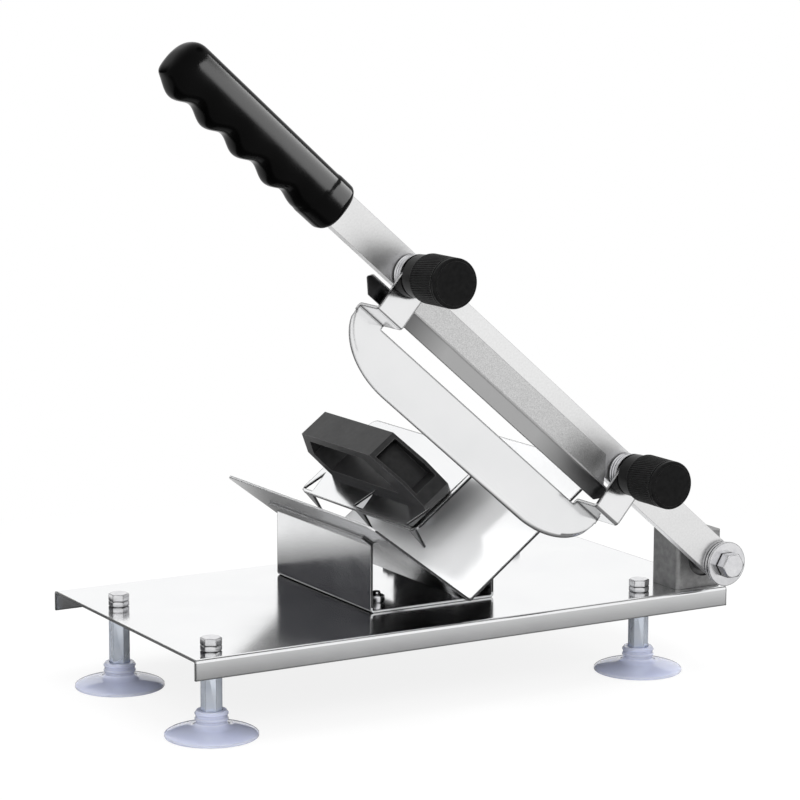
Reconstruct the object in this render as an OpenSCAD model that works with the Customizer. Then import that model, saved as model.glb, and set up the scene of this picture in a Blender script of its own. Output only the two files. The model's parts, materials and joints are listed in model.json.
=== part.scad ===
// Bench slicer for frozen meat, worked by a hand lever.
// A folded base plate on four suction feet carries a V-shaped meat tray and a cast pivot block.
// The lever swings a straight blade down past the near end of the tray.
// Heights in the base frame are taken from the bench. X runs along the base, Y away from the user.

/* [Base] */
// Length of the base plate
base_length = 340; // [330:1:400]
// Depth of the base plate
base_depth = 180; // [176:1:220]
// Height of the top of the base plate above the bench
base_height = 46; // [42:1:60]
// Height of the front and back flanges
flange_drop = 11.3; // [9:0.1:16]
// Thickness of the folded stainless sheet
sheet = 1.5; // [1.2:0.1:1.8]
// Outer radius of the tight folds
fold_radius = 2; // [1.9:0.1:3]
// Distance of the left feet from the left end
foot_left = 16.5; // [12:0.5:30]
// Distance of the right feet from the right end
foot_right_inset = 51; // [48:1:80]
// Distance of the front feet from the front edge
foot_front = 15; // [12:0.5:24]
// Distance of the back left foot from the front edge
foot_back = 129; // [120:1:150]
// Distance of the back right foot from the front edge
foot_back_right = 151; // [145:1:165]

/* [Feet] */
// Radius of a suction cup at its rim
cup_radius = 25; // [20:0.5:30]
// Height of the clear neck of a suction cup
cup_height = 14; // [12:0.5:18]
// Radius of the neck of a suction cup
neck_radius = 8.3; // [7.5:0.1:10]
// Width across flats of the hexagonal spacers and of the foot bolts
post_flats = 10; // [8:0.5:11]
// Radius of the foot bolts and cup studs
foot_bolt_radius = 2.9; // [2.4:0.1:3]
// Height of the heads of the foot bolts
foot_head_height = 4; // [3:0.1:5]
// Height of the thin nuts under those heads
foot_nut_height = 3.2; // [2.5:0.1:4]
// Length of the foot bolts under the head
foot_bolt_length = 20; // [14:1:24]

/* [Tray] */
// Slope of both wings of the tray
wing_slope = 37; // [34:0.5:40]
// Distance of the bottom of the V from the left end of the base
tray_x = 169; // [165:1:175]
// Height of the bottom of the V above the base plate
tray_rise = 10; // [9:0.5:12]
// Width of the left wing
left_wing = 78.5; // [72:0.5:85]
// Width of the right wing
right_wing = 110; // [104:1:112]
// Distance of the near end of the tray from the front edge
tray_near = 4; // [3.5:0.1:5]
// Length of the tray
tray_length = 170; // [165:1:175]
// Radius of the corners of the wings
wing_corner = 6; // [4:0.5:10]
// Width of the bracket under the tray
bracket_width = 80; // [76:1:84]
// Distance of the bracket's near end from the front edge
bracket_near = 43.5; // [40:0.5:46]
// Length of the bracket
bracket_length = 109.5; // [106:0.5:112]
// Width of the small flanges that carry the wings
bracket_flange = 8; // [6:0.5:10]

/* [Pivot] */
// Distance of the pivot from the right end of the base
pivot_inset = 12; // [11:0.5:15]
// Height of the pivot above the base plate
pivot_rise = 17.4; // [17.2:0.1:18.5]
// Length of the pivot block along the base
block_length = 31; // [30:0.5:33]
// Depth of the pivot block
block_depth = 25; // [22:0.5:30]
// Height of the pivot block
block_height = 32.4; // [32:0.1:36]
// Distance of the pivot block from the front edge
block_near = 6; // [5:0.5:8]
// Radius of the pivot bolt
pivot_radius = 4; // [3.5:0.1:4.2]
// Width across flats of the head and nut of the pivot bolt
pivot_flats = 13; // [12:0.5:14]
// Height of the head of the pivot bolt
pivot_head_height = 6.4; // [5.5:0.1:7]

/* [Lever] */
// Angle of the lever above the bench as stored
rest_angle = 40.6; // [38:0.1:44]
// Width of the lever bar
arm_width = 20; // [19:0.5:22]
// Thickness of the lever bar
arm_thickness = 6; // [5:0.1:7]
// Distance of the back of the lever bar in front of the base
arm_front = 5; // [4.8:0.1:6]
// Length of bare bar between the upper stud and the grip
grip_gap = 56.5; // [52:0.5:62]
// Length of the grip
grip_length = 122; // [116:1:130]
// Half width of the grip across the bar
grip_half_width = 13; // [12:0.5:15]
// Distance of the finger bumps along the grip
finger_pitch = 23; // [21:0.5:25]

/* [Blade] */
// Distance of the upper stud from the pivot
upper_stud_u = 272; // [268:1:276]
// Distance of the lower stud from the pivot
lower_stud_u = 90.5; // [88:0.5:94]
// Thickness of the blade sheet
blade_sheet = 1.8; // [1.5:0.1:2]
// Distance of the cutting edge below the middle of the lever bar
edge_drop = 57.4; // [56:0.1:60]
// Gap between the base and the blade
blade_gap = 0.6; // [0.5:0.1:0.8]
// Width of the blade's ears
ear_width = 19; // [17:0.5:20]
// Width of the ground bevel
bevel_width = 3; // [2:0.1:4]
// Travel of the blade that the thickness knobs give
blade_travel = 10; // [6:0.5:10]

/* [Knobs] */
// Radius of the knurled part of a knob
knob_radius = 13.2; // [12.6:0.1:14]
// Length of the knurled part
knurl_length = 25; // [22:0.5:28]
// Length of the smooth neck behind it
knob_neck_length = 9.7; // [8:0.1:12]
// Radius of the studs that carry the knobs
stud_radius = 4; // [3.5:0.1:4.2]
// Outer radius of the coil springs
spring_radius = 11; // [9.5:0.1:12]
// Thickness of the spring wire
spring_wire = 1.6; // [1.2:0.1:1.7]
// Number of curls in each spring
spring_curls = 2.5; // [2:0.5:2.5]
// Length of the fitted spring
spring_length = 7.1; // [7:0.1:9]

/* [Stop bar] */
// Drop of the stop bar's lower edge below the middle of the lever bar
stop_drop = 24.3; // [23:0.1:25]
// Height of the part of the stop bar that lies on the lever bar
stop_seat_drop = 13.7; // [12.5:0.1:14]
// Forward step of the stop bar
stop_step = 2.2; // [1.5:0.1:3]

/* [Pusher] */
// Length of the pusher plate
pusher_length = 136; // [130:1:140]
// Width of the pusher plate
pusher_width = 65; // [60:0.5:68]
// Distance of the pusher plate from the bottom of the V
pusher_start = 19.7; // [19:0.1:22]
// Length of the bent teeth under the pusher plate
tooth_length = 15; // [12:0.5:17]
// Width of the pusher's handle
handle_width = 20; // [18:0.5:24]
// Height of the pusher's handle
handle_height = 34; // [30:0.5:40]
// Length of the pusher's handle
handle_length = 120; // [110:1:120]
// Travel of the pusher towards the blade
pusher_travel = 62; // [50:1:62]

/* [Hidden] */
$fn = 64;

// Clearances, the overrun of every cut, the steps of a small fold and the ease of the corner cutters
overrun = 1;
fit = 0.05;
clear = 0.3;
drill = 0.3;
fold_steps = 6;
corner_ease = 0.02;

// Feet
foot_right = base_length - foot_right_inset;
front_left = [foot_left, foot_front];
front_right = [foot_right, foot_front];
back_left = [foot_left, foot_back];
back_right = [foot_right, foot_back_right];
feet = [front_left, front_right, back_left, back_right];
cup_lip = 1.2;
cup_cavity = 3.4;
cup_crown = 5.6;
cup_floor = 5;
cup_wall_share = 0.94;
dome_steps = 8;
dome_angle = 70;
quarter_turn = 90;
post_foot = 10;
post_socket_radius = post_flats / 2 / cos(30) + 2 * fit;
post_bore = foot_bolt_radius + 2 * fit;
cup_stud_top = 21;
plate_under = base_height - sheet;

// Bracket screws
screw_radius = 2.4;
screw_head_radius = 4.5;
screw_head_height = 2.6;
screw_tip = 2;
screw_nut_flats = 8;
screw_nut_height = 4;
screw_inset_x = 14;
screw_inset_y = 18;
bracket_left = tray_x - bracket_width / 2;
bracket_holes = [for (x = [bracket_left + screw_inset_x, bracket_left + bracket_width - screw_inset_x])
  for (y = [bracket_near + screw_inset_y, bracket_near + bracket_length - screw_inset_y]) [x, y]];

// Pivot block and the bolts that hold it
block_corner = 2.5;
pivot_x = base_length - pivot_inset;
block_left = base_length - block_length;
block_bolt_inset = 6;
block_bolt_depth = 9;
block_bolt_radius = 2.9;
block_bolt_flats = 10;
block_head_height = 4;
block_washer_radius = 6;
block_washer_height = 1.2;
block_holes = [for (x = [block_left + block_bolt_inset, base_length - block_bolt_inset])
  [x, block_near + block_depth / 2]];
recess_radius = 11;
recess_depth = 2;

// Pivot stack, counted forwards from the front of the base
arm_back_w = arm_front;
arm_front_w = arm_front + arm_thickness;
rear_washer_radius = 12.3;
rear_washer_height = 1.6;
lock_washer_radius = 10;
lock_washer_height = 1.2;
front_washer_radius = 12.7;
front_washer_height = 1.6;
rear_washer_w = arm_front_w + clear;
lock_washer_w = rear_washer_w + rear_washer_height;
front_washer_w = lock_washer_w + lock_washer_height;
pivot_head_w = front_washer_w + front_washer_height;
pivot_bore = pivot_radius + fit;
washer_bore = pivot_radius + drill;
spacer_radius = 8;
back_washer_radius = 10;
back_washer_height = 1.5;
pivot_nut_height = 6.5;
pivot_tip = 2;
block_back_w = -block_near - block_depth;
pivot_nut_w = block_back_w - back_washer_height - pivot_nut_height;
bush_radius = 6;

// Lever
grip_start = upper_stud_u + grip_gap;
tang_inset = 5.5;
tang_cover = 20;
tang_start = grip_start + tang_inset;
tang_end = grip_start + grip_length - tang_cover;
tang_half_width = 7;
grip_w = arm_front + arm_thickness / 2;
grip_sections = 40;
grip_sides = 24;
grip_power = 2.5;
grip_top_low = 13.2;
grip_top_high = 15;
grip_under = 14.2;
finger_depth = 2.1;
first_bump = 39.5;
collar_length = 16;
collar_round = 3;
collar_draw_share = 0.14;
tip_share = 0.6;
tip_power = 3;
tip_drop = 7.5;
tip_crowding = 1.35;
grip_round = 12;
collar_under = 15;

// Springs, washers, ears and knobs, counted forwards from the front of the base
spring_sides = 6;
spring_rings = 8;
washer_height = 1.2;
ear_washer_radius = 11.5;
ear_w = arm_front_w + spring_length + washer_height;
ear_front_w = ear_w + blade_sheet;
ear_slack = 0.4;
ear_hole = stud_radius + ear_slack;
knob_w = ear_front_w + clear;
knob_neck_radius = 11.7;
knurl_w = knob_w + knob_neck_length;
knob_front_w = knurl_w + knurl_length;
knob_groove = 0.55;
knob_grooves = 36;
knob_chamfer = 1;
cap_radius = 11.4;
cap_height = 2;
cap_recess = 1.5;
insert_radius = 6;
insert_length = 18.7;
stud_engagement = 13.7;
stud_room = 5;
stud_front_w = knob_w + blade_travel + stud_engagement;
stud_back_w = 0.8;
stud_nut_height = 4;
stud_nut_flats = 13;
knob_bore_depth = stud_front_w + stud_room - knob_w;

// Blade
blade_w = blade_gap;
bend_out = 2.4;
bend_in = bend_out - blade_sheet;
link_under = 28.4;
blade_top = link_under - blade_sheet + bend_out;
recess_drop = 30.6;
edge_thickness = 0.4;
ear_lap = 0.5;
ear_half = ear_width / 2;
nose_length = 44.5;
tail_length = 44;
nose_u = upper_stud_u + ear_half - nose_length;
tail_u = lower_stud_u - ear_half + tail_length;
nose_steps = 24;
nose_start = 10;

// Stop bar outline
seat_w = arm_front_w;
step_shift = sheet * tan(22.5);
stop_overhang = 21.5;
stop_inset = 2.3;
seat_upper_inset = 16;
seat_lower_inset = 17.5;
stop_upper_end = upper_stud_u + stop_overhang;
stop_lower_end = lower_stud_u + stop_inset;
stop_seat_upper = upper_stud_u - seat_upper_inset;
stop_seat_lower = lower_stud_u + seat_lower_inset;
stop_slant = 10;
stop_chamfer = 6.5;
stop_top_chamfer = 3;

// Pusher, in the frame of the right wing
pusher_gap = 6;
pusher_near = tray_near + pusher_travel + pusher_gap;
pusher_under = sheet + clear + tooth_length;
pusher_top = pusher_under + sheet;
pusher_corner = 6;
tooth_s = 22.3;
tooth_width = 11;
tooth_inset = 1.5;
tooth_places = [pusher_near + tooth_inset, pusher_near + pusher_length / 2 - tooth_width / 2,
  pusher_near + pusher_length - tooth_width - tooth_inset];
handle_s = 37;
handle_inset = 12.5;
handle_near = pusher_near + handle_inset;
handle_wall = 2;
handle_floor = 5;
handle_roof = 5.5;
handle_shares = [[0, 0], [0.0725, 0.4618], [0.2292, 1], [0.9042, 1], [1, 0.4853], [0.9042, 0]];
handle_outline = [for (share = handle_shares) [share[0] * handle_length, share[1] * handle_height]];
window_shares = [0.1958, 0.3458, 0.8708, 0.9375];
window_bend_share = 0.4853;
window_places = window_shares * handle_length;
window_top = handle_height - handle_roof;
handle_window = [[window_places[0], handle_floor], [window_places[1], window_top],
  [window_places[2], window_top], [window_places[3], window_bend_share * handle_height],
  [window_places[2], handle_floor]];
pocket_shares = [0.1125, 0.2708];
pocket_floor = 7;
pocket_roof = 2.5;
pocket_places = pocket_shares * handle_length;
pocket_top = handle_height - pocket_roof;
handle_pocket = [[-overrun, pocket_floor], [pocket_places[0], pocket_floor],
  [pocket_places[1], pocket_top], [-overrun, pocket_top]];
pusher_screw_radius = 1.9;
pusher_screw_head = 3.5;
pusher_screw_height = 2;
pusher_screw_depth = 4;
pusher_screw_shares = [0.3125, 0.7625];
pusher_screw_places = [for (share = pusher_screw_shares) handle_near + share * handle_length];

// Origin under the middle of the whole object
grip_points = [for (i = [0 : grip_sections]) for (j = [0 : grip_sides - 1]) grip_point(i, j)];
x_low = min([for (p = grip_points) pivot_x - p[0] * cos(rest_angle) + p[2] * sin(rest_angle)]);
x_high = max(base_length, pivot_x + front_washer_radius);
y_low = cap_recess - cap_height - knob_front_w;
y_high = max(base_depth, pusher_near + pusher_length);
frame_x = (x_low + x_high) / 2;
frame_y = (y_low + y_high) / 2;

// Frames
module base_frame() translate([-frame_x, -frame_y, 0]) children();
module plate_frame() base_frame() translate([0, 0, base_height]) children();
module lever_frame()
  plate_frame() translate([pivot_x, 0, pivot_rise]) rotate([0, rest_angle, 0]) rotate([0, 0, 180]) children();
module pivot_frame() plate_frame() translate([pivot_x, 0, pivot_rise]) rotate([0, 0, 180]) children();
module wing_frame()
  plate_frame() translate([tray_x, 0, tray_rise]) rotate([0, -wing_slope, 0]) children();

// Round and hexagonal bars along the forward axis, and standing ones
module rod(radius, from, to) translate([0, from, 0]) rotate([-90, 0, 0]) cylinder(r = radius, h = to - from);
module hex_rod(flats, from, to)
  translate([0, from, 0]) rotate([-90, 0, 0]) cylinder(r = flats / 2 / cos(30), h = to - from, $fn = 6);
module ring(radius, bore, from, to) difference() {
  rod(radius, from, to);
  rod(bore, from - overrun, to + overrun);
}
module post(radius, from, to) translate([0, 0, from]) cylinder(r = radius, h = to - from);
module hex_post(flats, from, to)
  translate([0, 0, from]) rotate(30) cylinder(r = flats / 2 / cos(30), h = to - from, $fn = 6);
module quarter_bend(outer, inner) intersection() {
  difference() { circle(r = outer); circle(r = inner); }
  square(outer);
}
module along_x(length) rotate([90, 0, 90]) linear_extrude(height = length) children();

// Rectangle with four rounded corners
module round_outline(width, length, corner) {
  translate([corner, 0]) square([width - 2 * corner, length]);
  translate([0, corner]) square([width, length - 2 * corner]);
  for (x = [corner, width - corner]) for (y = [corner, length - corner]) translate([x, y]) circle(r = corner);
}

// Base plate with its two folded flanges
module base_profile() {
  translate([fold_radius, -sheet]) square([base_depth - 2 * fold_radius, sheet]);
  for (side = [0, 1]) translate([side * base_depth, 0]) mirror([side, 0]) {
    translate([0, -flange_drop]) square([sheet, flange_drop - fold_radius]);
    translate([fold_radius, -fold_radius]) rotate(90) quarter_bend(fold_radius, fold_radius - sheet);
  }
}
module base_plate() color("gainsboro") plate_frame() difference() {
  along_x(base_length) base_profile();
  for (p = feet) translate(p) post(foot_bolt_radius + drill, -sheet - overrun, overrun);
  for (p = bracket_holes) translate(p) post(screw_radius + drill, -sheet - overrun, overrun);
  for (p = block_holes) translate(p) post(block_bolt_radius + drill, -sheet - overrun, overrun);
}

// Feet: bolt head and thin nut on the plate, hexagonal spacer, cup stud and suction cup
module foot_bolts() color("silver") plate_frame() for (p = feet) translate(p) {
  hex_post(post_flats, foot_nut_height, foot_nut_height + foot_head_height);
  post(foot_bolt_radius, foot_nut_height - foot_bolt_length, foot_nut_height);
}
module foot_nuts() color("silver") plate_frame() for (p = feet) translate(p) difference() {
  hex_post(post_flats, 0, foot_nut_height);
  post(post_bore, -overrun, foot_nut_height + overrun);
}
module foot_post(place) color("lightsteelblue") base_frame() translate(place) difference() {
  hex_post(post_flats, post_foot, plate_under);
  post(post_bore, post_foot - overrun, plate_under + overrun);
}
module cup_studs() color("silver") base_frame() for (p = feet) translate(p)
  post(foot_bolt_radius, cup_floor, cup_stud_top);
function dome(radius, height, low, t) = [radius * cos(t), low + (height - low) * sin(t)];
module suction_cup(place) color("whitesmoke") base_frame() translate(place) difference() {
  rotate_extrude() polygon(concat(
    [[cup_radius, 0], [cup_radius, cup_lip]],
    [for (i = [1 : dome_steps]) dome(cup_radius, cup_crown, cup_lip, dome_angle * i / dome_steps)],
    [[neck_radius, cup_height], [0, cup_height], [0, cup_cavity]],
    [for (i = [dome_steps : -1 : 0])
      dome(cup_radius * cup_wall_share, cup_cavity, 0, quarter_turn * i / dome_steps)]));
  post(post_bore, cup_floor, cup_height + overrun);
  post(post_socket_radius, post_foot, cup_height + overrun);
}

// Folded bracket: bottom, two walls and two sloping flanges that lie under the wings
function under_wing(x) = tray_rise + abs(tray_x - x) * tan(wing_slope);
module bracket_profile() {
  wall = bracket_width / 2;
  foot = [cos(wing_slope), sin(wing_slope)];
  low = [sin(wing_slope), -cos(wing_slope)];
  inner = [wall - sheet, under_wing(tray_x + wall - sheet)];
  outer = [wall, under_wing(tray_x + wall) - sheet / cos(wing_slope)];
  tip = inner + foot * bracket_flange;
  for (side = [0, 1]) mirror([side, 0]) {
    translate([wall - fold_radius, fold_radius]) rotate(-90) quarter_bend(fold_radius, fold_radius - sheet);
    polygon([[wall - sheet, fold_radius], [wall, fold_radius], outer, tip + low * sheet, tip, inner]);
    square([wall - fold_radius, sheet]);
  }
}
module tray_bracket() color("gainsboro") plate_frame() difference() {
  translate([tray_x, bracket_near + bracket_length, 0]) rotate([90, 0, 0])
    linear_extrude(height = bracket_length) bracket_profile();
  for (p = bracket_holes) translate(p) post(screw_radius + drill, -overrun, sheet + overrun);
}
module bracket_screws() color("silver") plate_frame() for (p = bracket_holes) translate(p) {
  post(screw_head_radius, -sheet - screw_head_height, -sheet);
  post(screw_radius, -sheet, sheet + screw_nut_height + screw_tip);
}
module bracket_nuts() color("silver") plate_frame() for (p = bracket_holes) translate(p) difference() {
  hex_post(screw_nut_flats, sheet, sheet + screw_nut_height);
  post(screw_radius + fit, 0, sheet + screw_nut_height + overrun);
}

// Meat tray: one sheet folded along the bottom of the V, with rounded outer corners
function wing_point(along, up) = [along * cos(wing_slope) - up * sin(wing_slope),
  along * sin(wing_slope) + up * cos(wing_slope)];
function turned(points) = [for (i = [len(points) - 1 : -1 : 0]) [-points[i][0], points[i][1]]];
function fold_arc(radius) = [for (i = [0 : fold_steps]) let (t = wing_slope * i / fold_steps)
  [radius * sin(t), fold_radius / cos(wing_slope) - radius * cos(t)]];
module tray_profile() {
  under = fold_arc(fold_radius);
  over = fold_arc(fold_radius - sheet);
  polygon(concat(turned([for (p = under) if (p[0] > 0) p]), under,
    [wing_point(right_wing, 0), wing_point(right_wing, sheet)],
    [for (i = [fold_steps : -1 : 1]) over[i]], [over[0]], turned([for (i = [fold_steps : -1 : 1]) over[i]]),
    turned([wing_point(left_wing, 0), wing_point(left_wing, sheet)])));
}
module corner_cutter(width) translate([0, 0, -overrun]) linear_extrude(height = sheet + 2 * overrun)
  for (side = [0, 1]) translate([width - wing_corner, side * tray_length]) mirror([0, side])
    difference() {
      translate([0, -overrun]) square([wing_corner + overrun, wing_corner + overrun]);
      translate([0, wing_corner]) circle(r = wing_corner + corner_ease);
    }
module meat_tray() color("white") plate_frame() translate([tray_x, tray_near, tray_rise]) difference() {
  translate([0, tray_length, 0]) rotate([90, 0, 0]) linear_extrude(height = tray_length) tray_profile();
  rotate([0, -wing_slope, 0]) corner_cutter(right_wing);
  mirror([1, 0, 0]) rotate([0, -wing_slope, 0]) corner_cutter(left_wing);
}

// Pivot block with its bore, front recess and the two threaded holes from below
module pivot_block() color("darkgray") difference() {
  plate_frame() translate([block_left, block_near, 0]) linear_extrude(height = block_height)
    round_outline(block_length, block_depth, block_corner);
  pivot_frame() rod(pivot_bore, block_back_w - overrun, -block_near + overrun);
  pivot_frame() rod(recess_radius, -block_near - recess_depth, -block_near + overrun);
  plate_frame() for (p = block_holes) translate(p)
    post(block_bolt_radius + fit, -overrun, block_bolt_depth + overrun);
}
module block_bolts() color("silver") plate_frame() for (p = block_holes) translate(p) {
  hex_post(block_bolt_flats, -sheet - block_washer_height - block_head_height, -sheet - block_washer_height);
  post(block_bolt_radius, -sheet - block_washer_height, block_bolt_depth);
}
module block_washers() color("silver") plate_frame() for (p = block_holes) translate(p) difference() {
  post(block_washer_radius, -sheet - block_washer_height, -sheet);
  post(block_bolt_radius + drill, -sheet - block_washer_height - overrun, 0);
}

// Pivot bolt, washers, spacer and nut
module pivot_bolt() color("silver") pivot_frame() {
  hex_rod(pivot_flats, pivot_head_w, pivot_head_w + pivot_head_height);
  rod(pivot_radius, pivot_nut_w - pivot_tip, pivot_head_w);
}
module pivot_front_washer() color("silver") pivot_frame()
  ring(front_washer_radius, washer_bore, front_washer_w, pivot_head_w);
module pivot_lock_washer() color("dimgray") pivot_frame()
  ring(lock_washer_radius, washer_bore, lock_washer_w, front_washer_w);
module pivot_rear_washer() color("silver") pivot_frame()
  ring(rear_washer_radius, washer_bore, rear_washer_w, lock_washer_w);
module pivot_spacer() color("silver") pivot_frame()
  ring(spacer_radius, washer_bore, -block_near - recess_depth, arm_back_w - clear);
module pivot_back_washer() color("silver") pivot_frame()
  ring(back_washer_radius, washer_bore, block_back_w - back_washer_height, block_back_w);
module pivot_nut() color("silver") pivot_frame() difference() {
  hex_rod(pivot_flats, pivot_nut_w, pivot_nut_w + pivot_nut_height);
  rod(pivot_bore, pivot_nut_w - overrun, pivot_nut_w + pivot_nut_height + overrun);
}

// Lever bar, bush and grip
module arm_bush() color("goldenrod") lever_frame() ring(bush_radius, pivot_bore, arm_back_w, arm_front_w);
module lever_arm() color("silver") lever_frame() difference() {
  union() {
    rod(arm_width / 2, arm_back_w, arm_front_w);
    translate([0, arm_back_w, -arm_width / 2]) cube([tang_start, arm_thickness, arm_width]);
    translate([0, arm_back_w, -tang_half_width]) cube([tang_end, arm_thickness, 2 * tang_half_width]);
  }
  rod(bush_radius + fit, arm_back_w - overrun, arm_front_w + overrun);
  for (u = [upper_stud_u, lower_stud_u]) translate([u, 0, 0])
    rod(stud_radius + fit, arm_back_w - overrun, arm_front_w + overrun);
}

// Grip: sections of a rounded rectangle whose lower side waves for the fingers
function power(value, share) = sign(value) * pow(abs(value), share);
function grip_blend(d) = min(1, max(0, d / collar_length));
function grip_low(d) = let (wave = grip_under + finger_depth * cos(360 * (d - first_bump) / finger_pitch))
  -(collar_under * (1 - grip_blend(d - collar_length)) + wave * grip_blend(d - collar_length));
function grip_high(d) = grip_top_low + (grip_top_high - grip_top_low) * d / grip_length;
function grip_end(d) = let (k = max(0, 1 - (grip_length - d) / grip_round))
  max(tip_share, pow(max(0, 1 - pow(k, tip_power)), 1 / tip_power));
function grip_begin(d) = let (k = max(0, 1 - d / collar_round)) 1 - collar_draw_share * k * k;
function grip_scale(d) = grip_end(d) * grip_begin(d);
function grip_along(i) = let (t = i / grip_sections) grip_length * (1 - pow(1 - t, tip_crowding));
function grip_point(i, j) = let (d = grip_along(i), a = 360 * j / grip_sides, s = grip_scale(d),
    middle = (grip_high(d) - grip_under) / 2,
    reach = sin(a) > 0 ? grip_high(d) - middle : middle - grip_low(d))
  [grip_start + d, grip_w + s * grip_half_width * power(cos(a), 2 / grip_power),
    middle - tip_drop * (1 - grip_end(d)) + s * reach * power(sin(a), 2 / grip_power)];
function loft_faces(rings, sides) = concat(
  [[for (j = [0 : sides - 1]) j]],
  [for (i = [0 : rings - 1]) for (j = [0 : sides - 1]) let (k = (j + 1) % sides)
    [i * sides + j, (i + 1) * sides + j, (i + 1) * sides + k, i * sides + k]],
  [[for (j = [sides - 1 : -1 : 0]) rings * sides + j]]);
module grip() color("black") lever_frame() difference() {
  polyhedron(points = grip_points, faces = loft_faces(grip_sections, grip_sides));
  translate([grip_start - overrun, arm_back_w, -arm_width / 2])
    cube([tang_start - grip_start + overrun, arm_thickness, arm_width]);
  translate([grip_start - overrun, arm_back_w, -tang_half_width])
    cube([tang_end - grip_start + overrun, arm_thickness, 2 * tang_half_width]);
}

// Stop bar: a sheet with one forward step, cut to its outline
module stop_profile() polygon([
  [seat_w, 0], [seat_w, -stop_seat_drop - step_shift],
  [seat_w + stop_step, -stop_seat_drop - step_shift - stop_step], [seat_w + stop_step, -stop_drop],
  [seat_w + stop_step + sheet, -stop_drop], [seat_w + stop_step + sheet, -stop_seat_drop - stop_step],
  [seat_w + sheet, -stop_seat_drop], [seat_w + sheet, 0]]);
module stop_outline() polygon([
  [stop_seat_lower, 0], [stop_seat_upper, 0], [stop_seat_upper + stop_slant, -stop_seat_drop],
  [stop_upper_end - stop_top_chamfer, -stop_seat_drop],
  [stop_upper_end, -stop_seat_drop - stop_top_chamfer], [stop_upper_end, -stop_drop + stop_chamfer],
  [stop_upper_end - stop_chamfer, -stop_drop], [stop_lower_end + stop_chamfer, -stop_drop],
  [stop_lower_end, -stop_drop + stop_chamfer], [stop_lower_end, -stop_seat_drop],
  [stop_seat_lower - stop_slant, -stop_seat_drop]]);
module stop_bar() color("dimgray") lever_frame() intersection() {
  along_x(stop_upper_end + overrun) stop_profile();
  translate([0, seat_w + stop_step + sheet + overrun, 0]) rotate([90, 0, 0])
    linear_extrude(height = stop_step + sheet + 2 * overrun) stop_outline();
}

// Studs, their nuts and the coil springs
module stud(u) color("silver") lever_frame() translate([u, 0, 0]) rod(stud_radius, stud_back_w, stud_front_w);
module stud_nuts() color("silver") lever_frame() for (u = [upper_stud_u, lower_stud_u]) translate([u, 0, 0])
  difference() {
    hex_rod(stud_nut_flats, arm_back_w - stud_nut_height, arm_back_w);
    rod(stud_radius + fit, arm_back_w - stud_nut_height - overrun, arm_back_w + overrun);
  }
coil_radius = spring_radius - spring_wire / 2;
coil_steps = spring_curls * spring_rings;
coil_low = arm_front_w + spring_wire / 2 + fit;
coil_rise = spring_length - spring_wire - 2 * fit;
function coil_centre(i) = let (a = 360 * i / spring_rings)
  [coil_radius * cos(a), coil_low + coil_rise * i / coil_steps, coil_radius * sin(a)];
function coil_point(i, j) = let (a = 360 * i / spring_rings, b = 360 * j / spring_sides)
  coil_centre(i) + spring_wire / 2 * (cos(b) * [cos(a), 0, sin(a)] + sin(b) * [0, 1, 0]);
coil_points = [for (i = [0 : coil_steps]) for (j = [0 : spring_sides - 1]) coil_point(i, j)];
coil_gap = min([for (i = [0 : coil_steps]) for (k = [i + spring_rings / 2 : coil_steps])
  norm(coil_centre(i) - coil_centre(k)) - spring_wire]);
echo(least_gap_between_curls = coil_gap);
module spring(u) color("lightgray") lever_frame() translate([u, 0, 0])
  polyhedron(points = coil_points, faces = loft_faces(coil_steps, spring_sides));

// Blade: a bevelled sheet with two ears that are bent forwards over the lever bar
function edge_at(t) = recess_drop + (edge_drop - recess_drop) * sin(t);
function blade_section(u, t) = [[u, blade_w, -recess_drop], [u, blade_w, -edge_at(t)],
  [u, blade_w + edge_thickness, -edge_at(t)], [u, blade_w + blade_sheet, bevel_width - edge_at(t)],
  [u, blade_w + blade_sheet, -recess_drop]];
function nose_turn(i) = nose_start + (quarter_turn - nose_start) * i / nose_steps;
module blade_body() {
  tail = [for (i = [0 : nose_steps]) let (t = nose_turn(i))
    blade_section(tail_u - tail_length * cos(t), t)];
  nose = [for (i = [nose_steps : -1 : 0]) let (t = nose_turn(i))
    blade_section(nose_u + nose_length * cos(t), t)];
  sections = concat(tail, nose);
  polyhedron(points = [for (section = sections) for (p = section) p],
    faces = loft_faces(len(sections) - 1, len(sections[0])));
}
module ear_profile() {
  translate([ear_w, bend_out - link_under]) square([blade_sheet, link_under - bend_out]);
  translate([ear_front_w - bend_out, bend_out - link_under]) rotate(-90) quarter_bend(bend_out, bend_in);
  translate([blade_w + bend_out, -link_under])
    square([ear_front_w - blade_w - 2 * bend_out, blade_sheet]);
  translate([blade_w + bend_out, -blade_top]) rotate(90) quarter_bend(bend_out, bend_in);
  translate([blade_w, -recess_drop - ear_lap]) square([blade_sheet, recess_drop + ear_lap - blade_top]);
}
module slicing_blade() color("white") lever_frame() difference() {
  union() {
    blade_body();
    for (u = [upper_stud_u, lower_stud_u]) translate([u, 0, 0]) {
      translate([-ear_half, 0, 0]) along_x(ear_width) ear_profile();
      rod(ear_half, ear_w, ear_front_w);
    }
  }
  for (u = [upper_stud_u, lower_stud_u]) translate([u, 0, 0])
    rod(ear_hole, ear_w - overrun, ear_front_w + overrun);
}
module ear_washer(u) color("silver") lever_frame() translate([u, 0, 0])
  ring(ear_washer_radius, ear_hole, ear_w - washer_height, ear_w);

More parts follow.
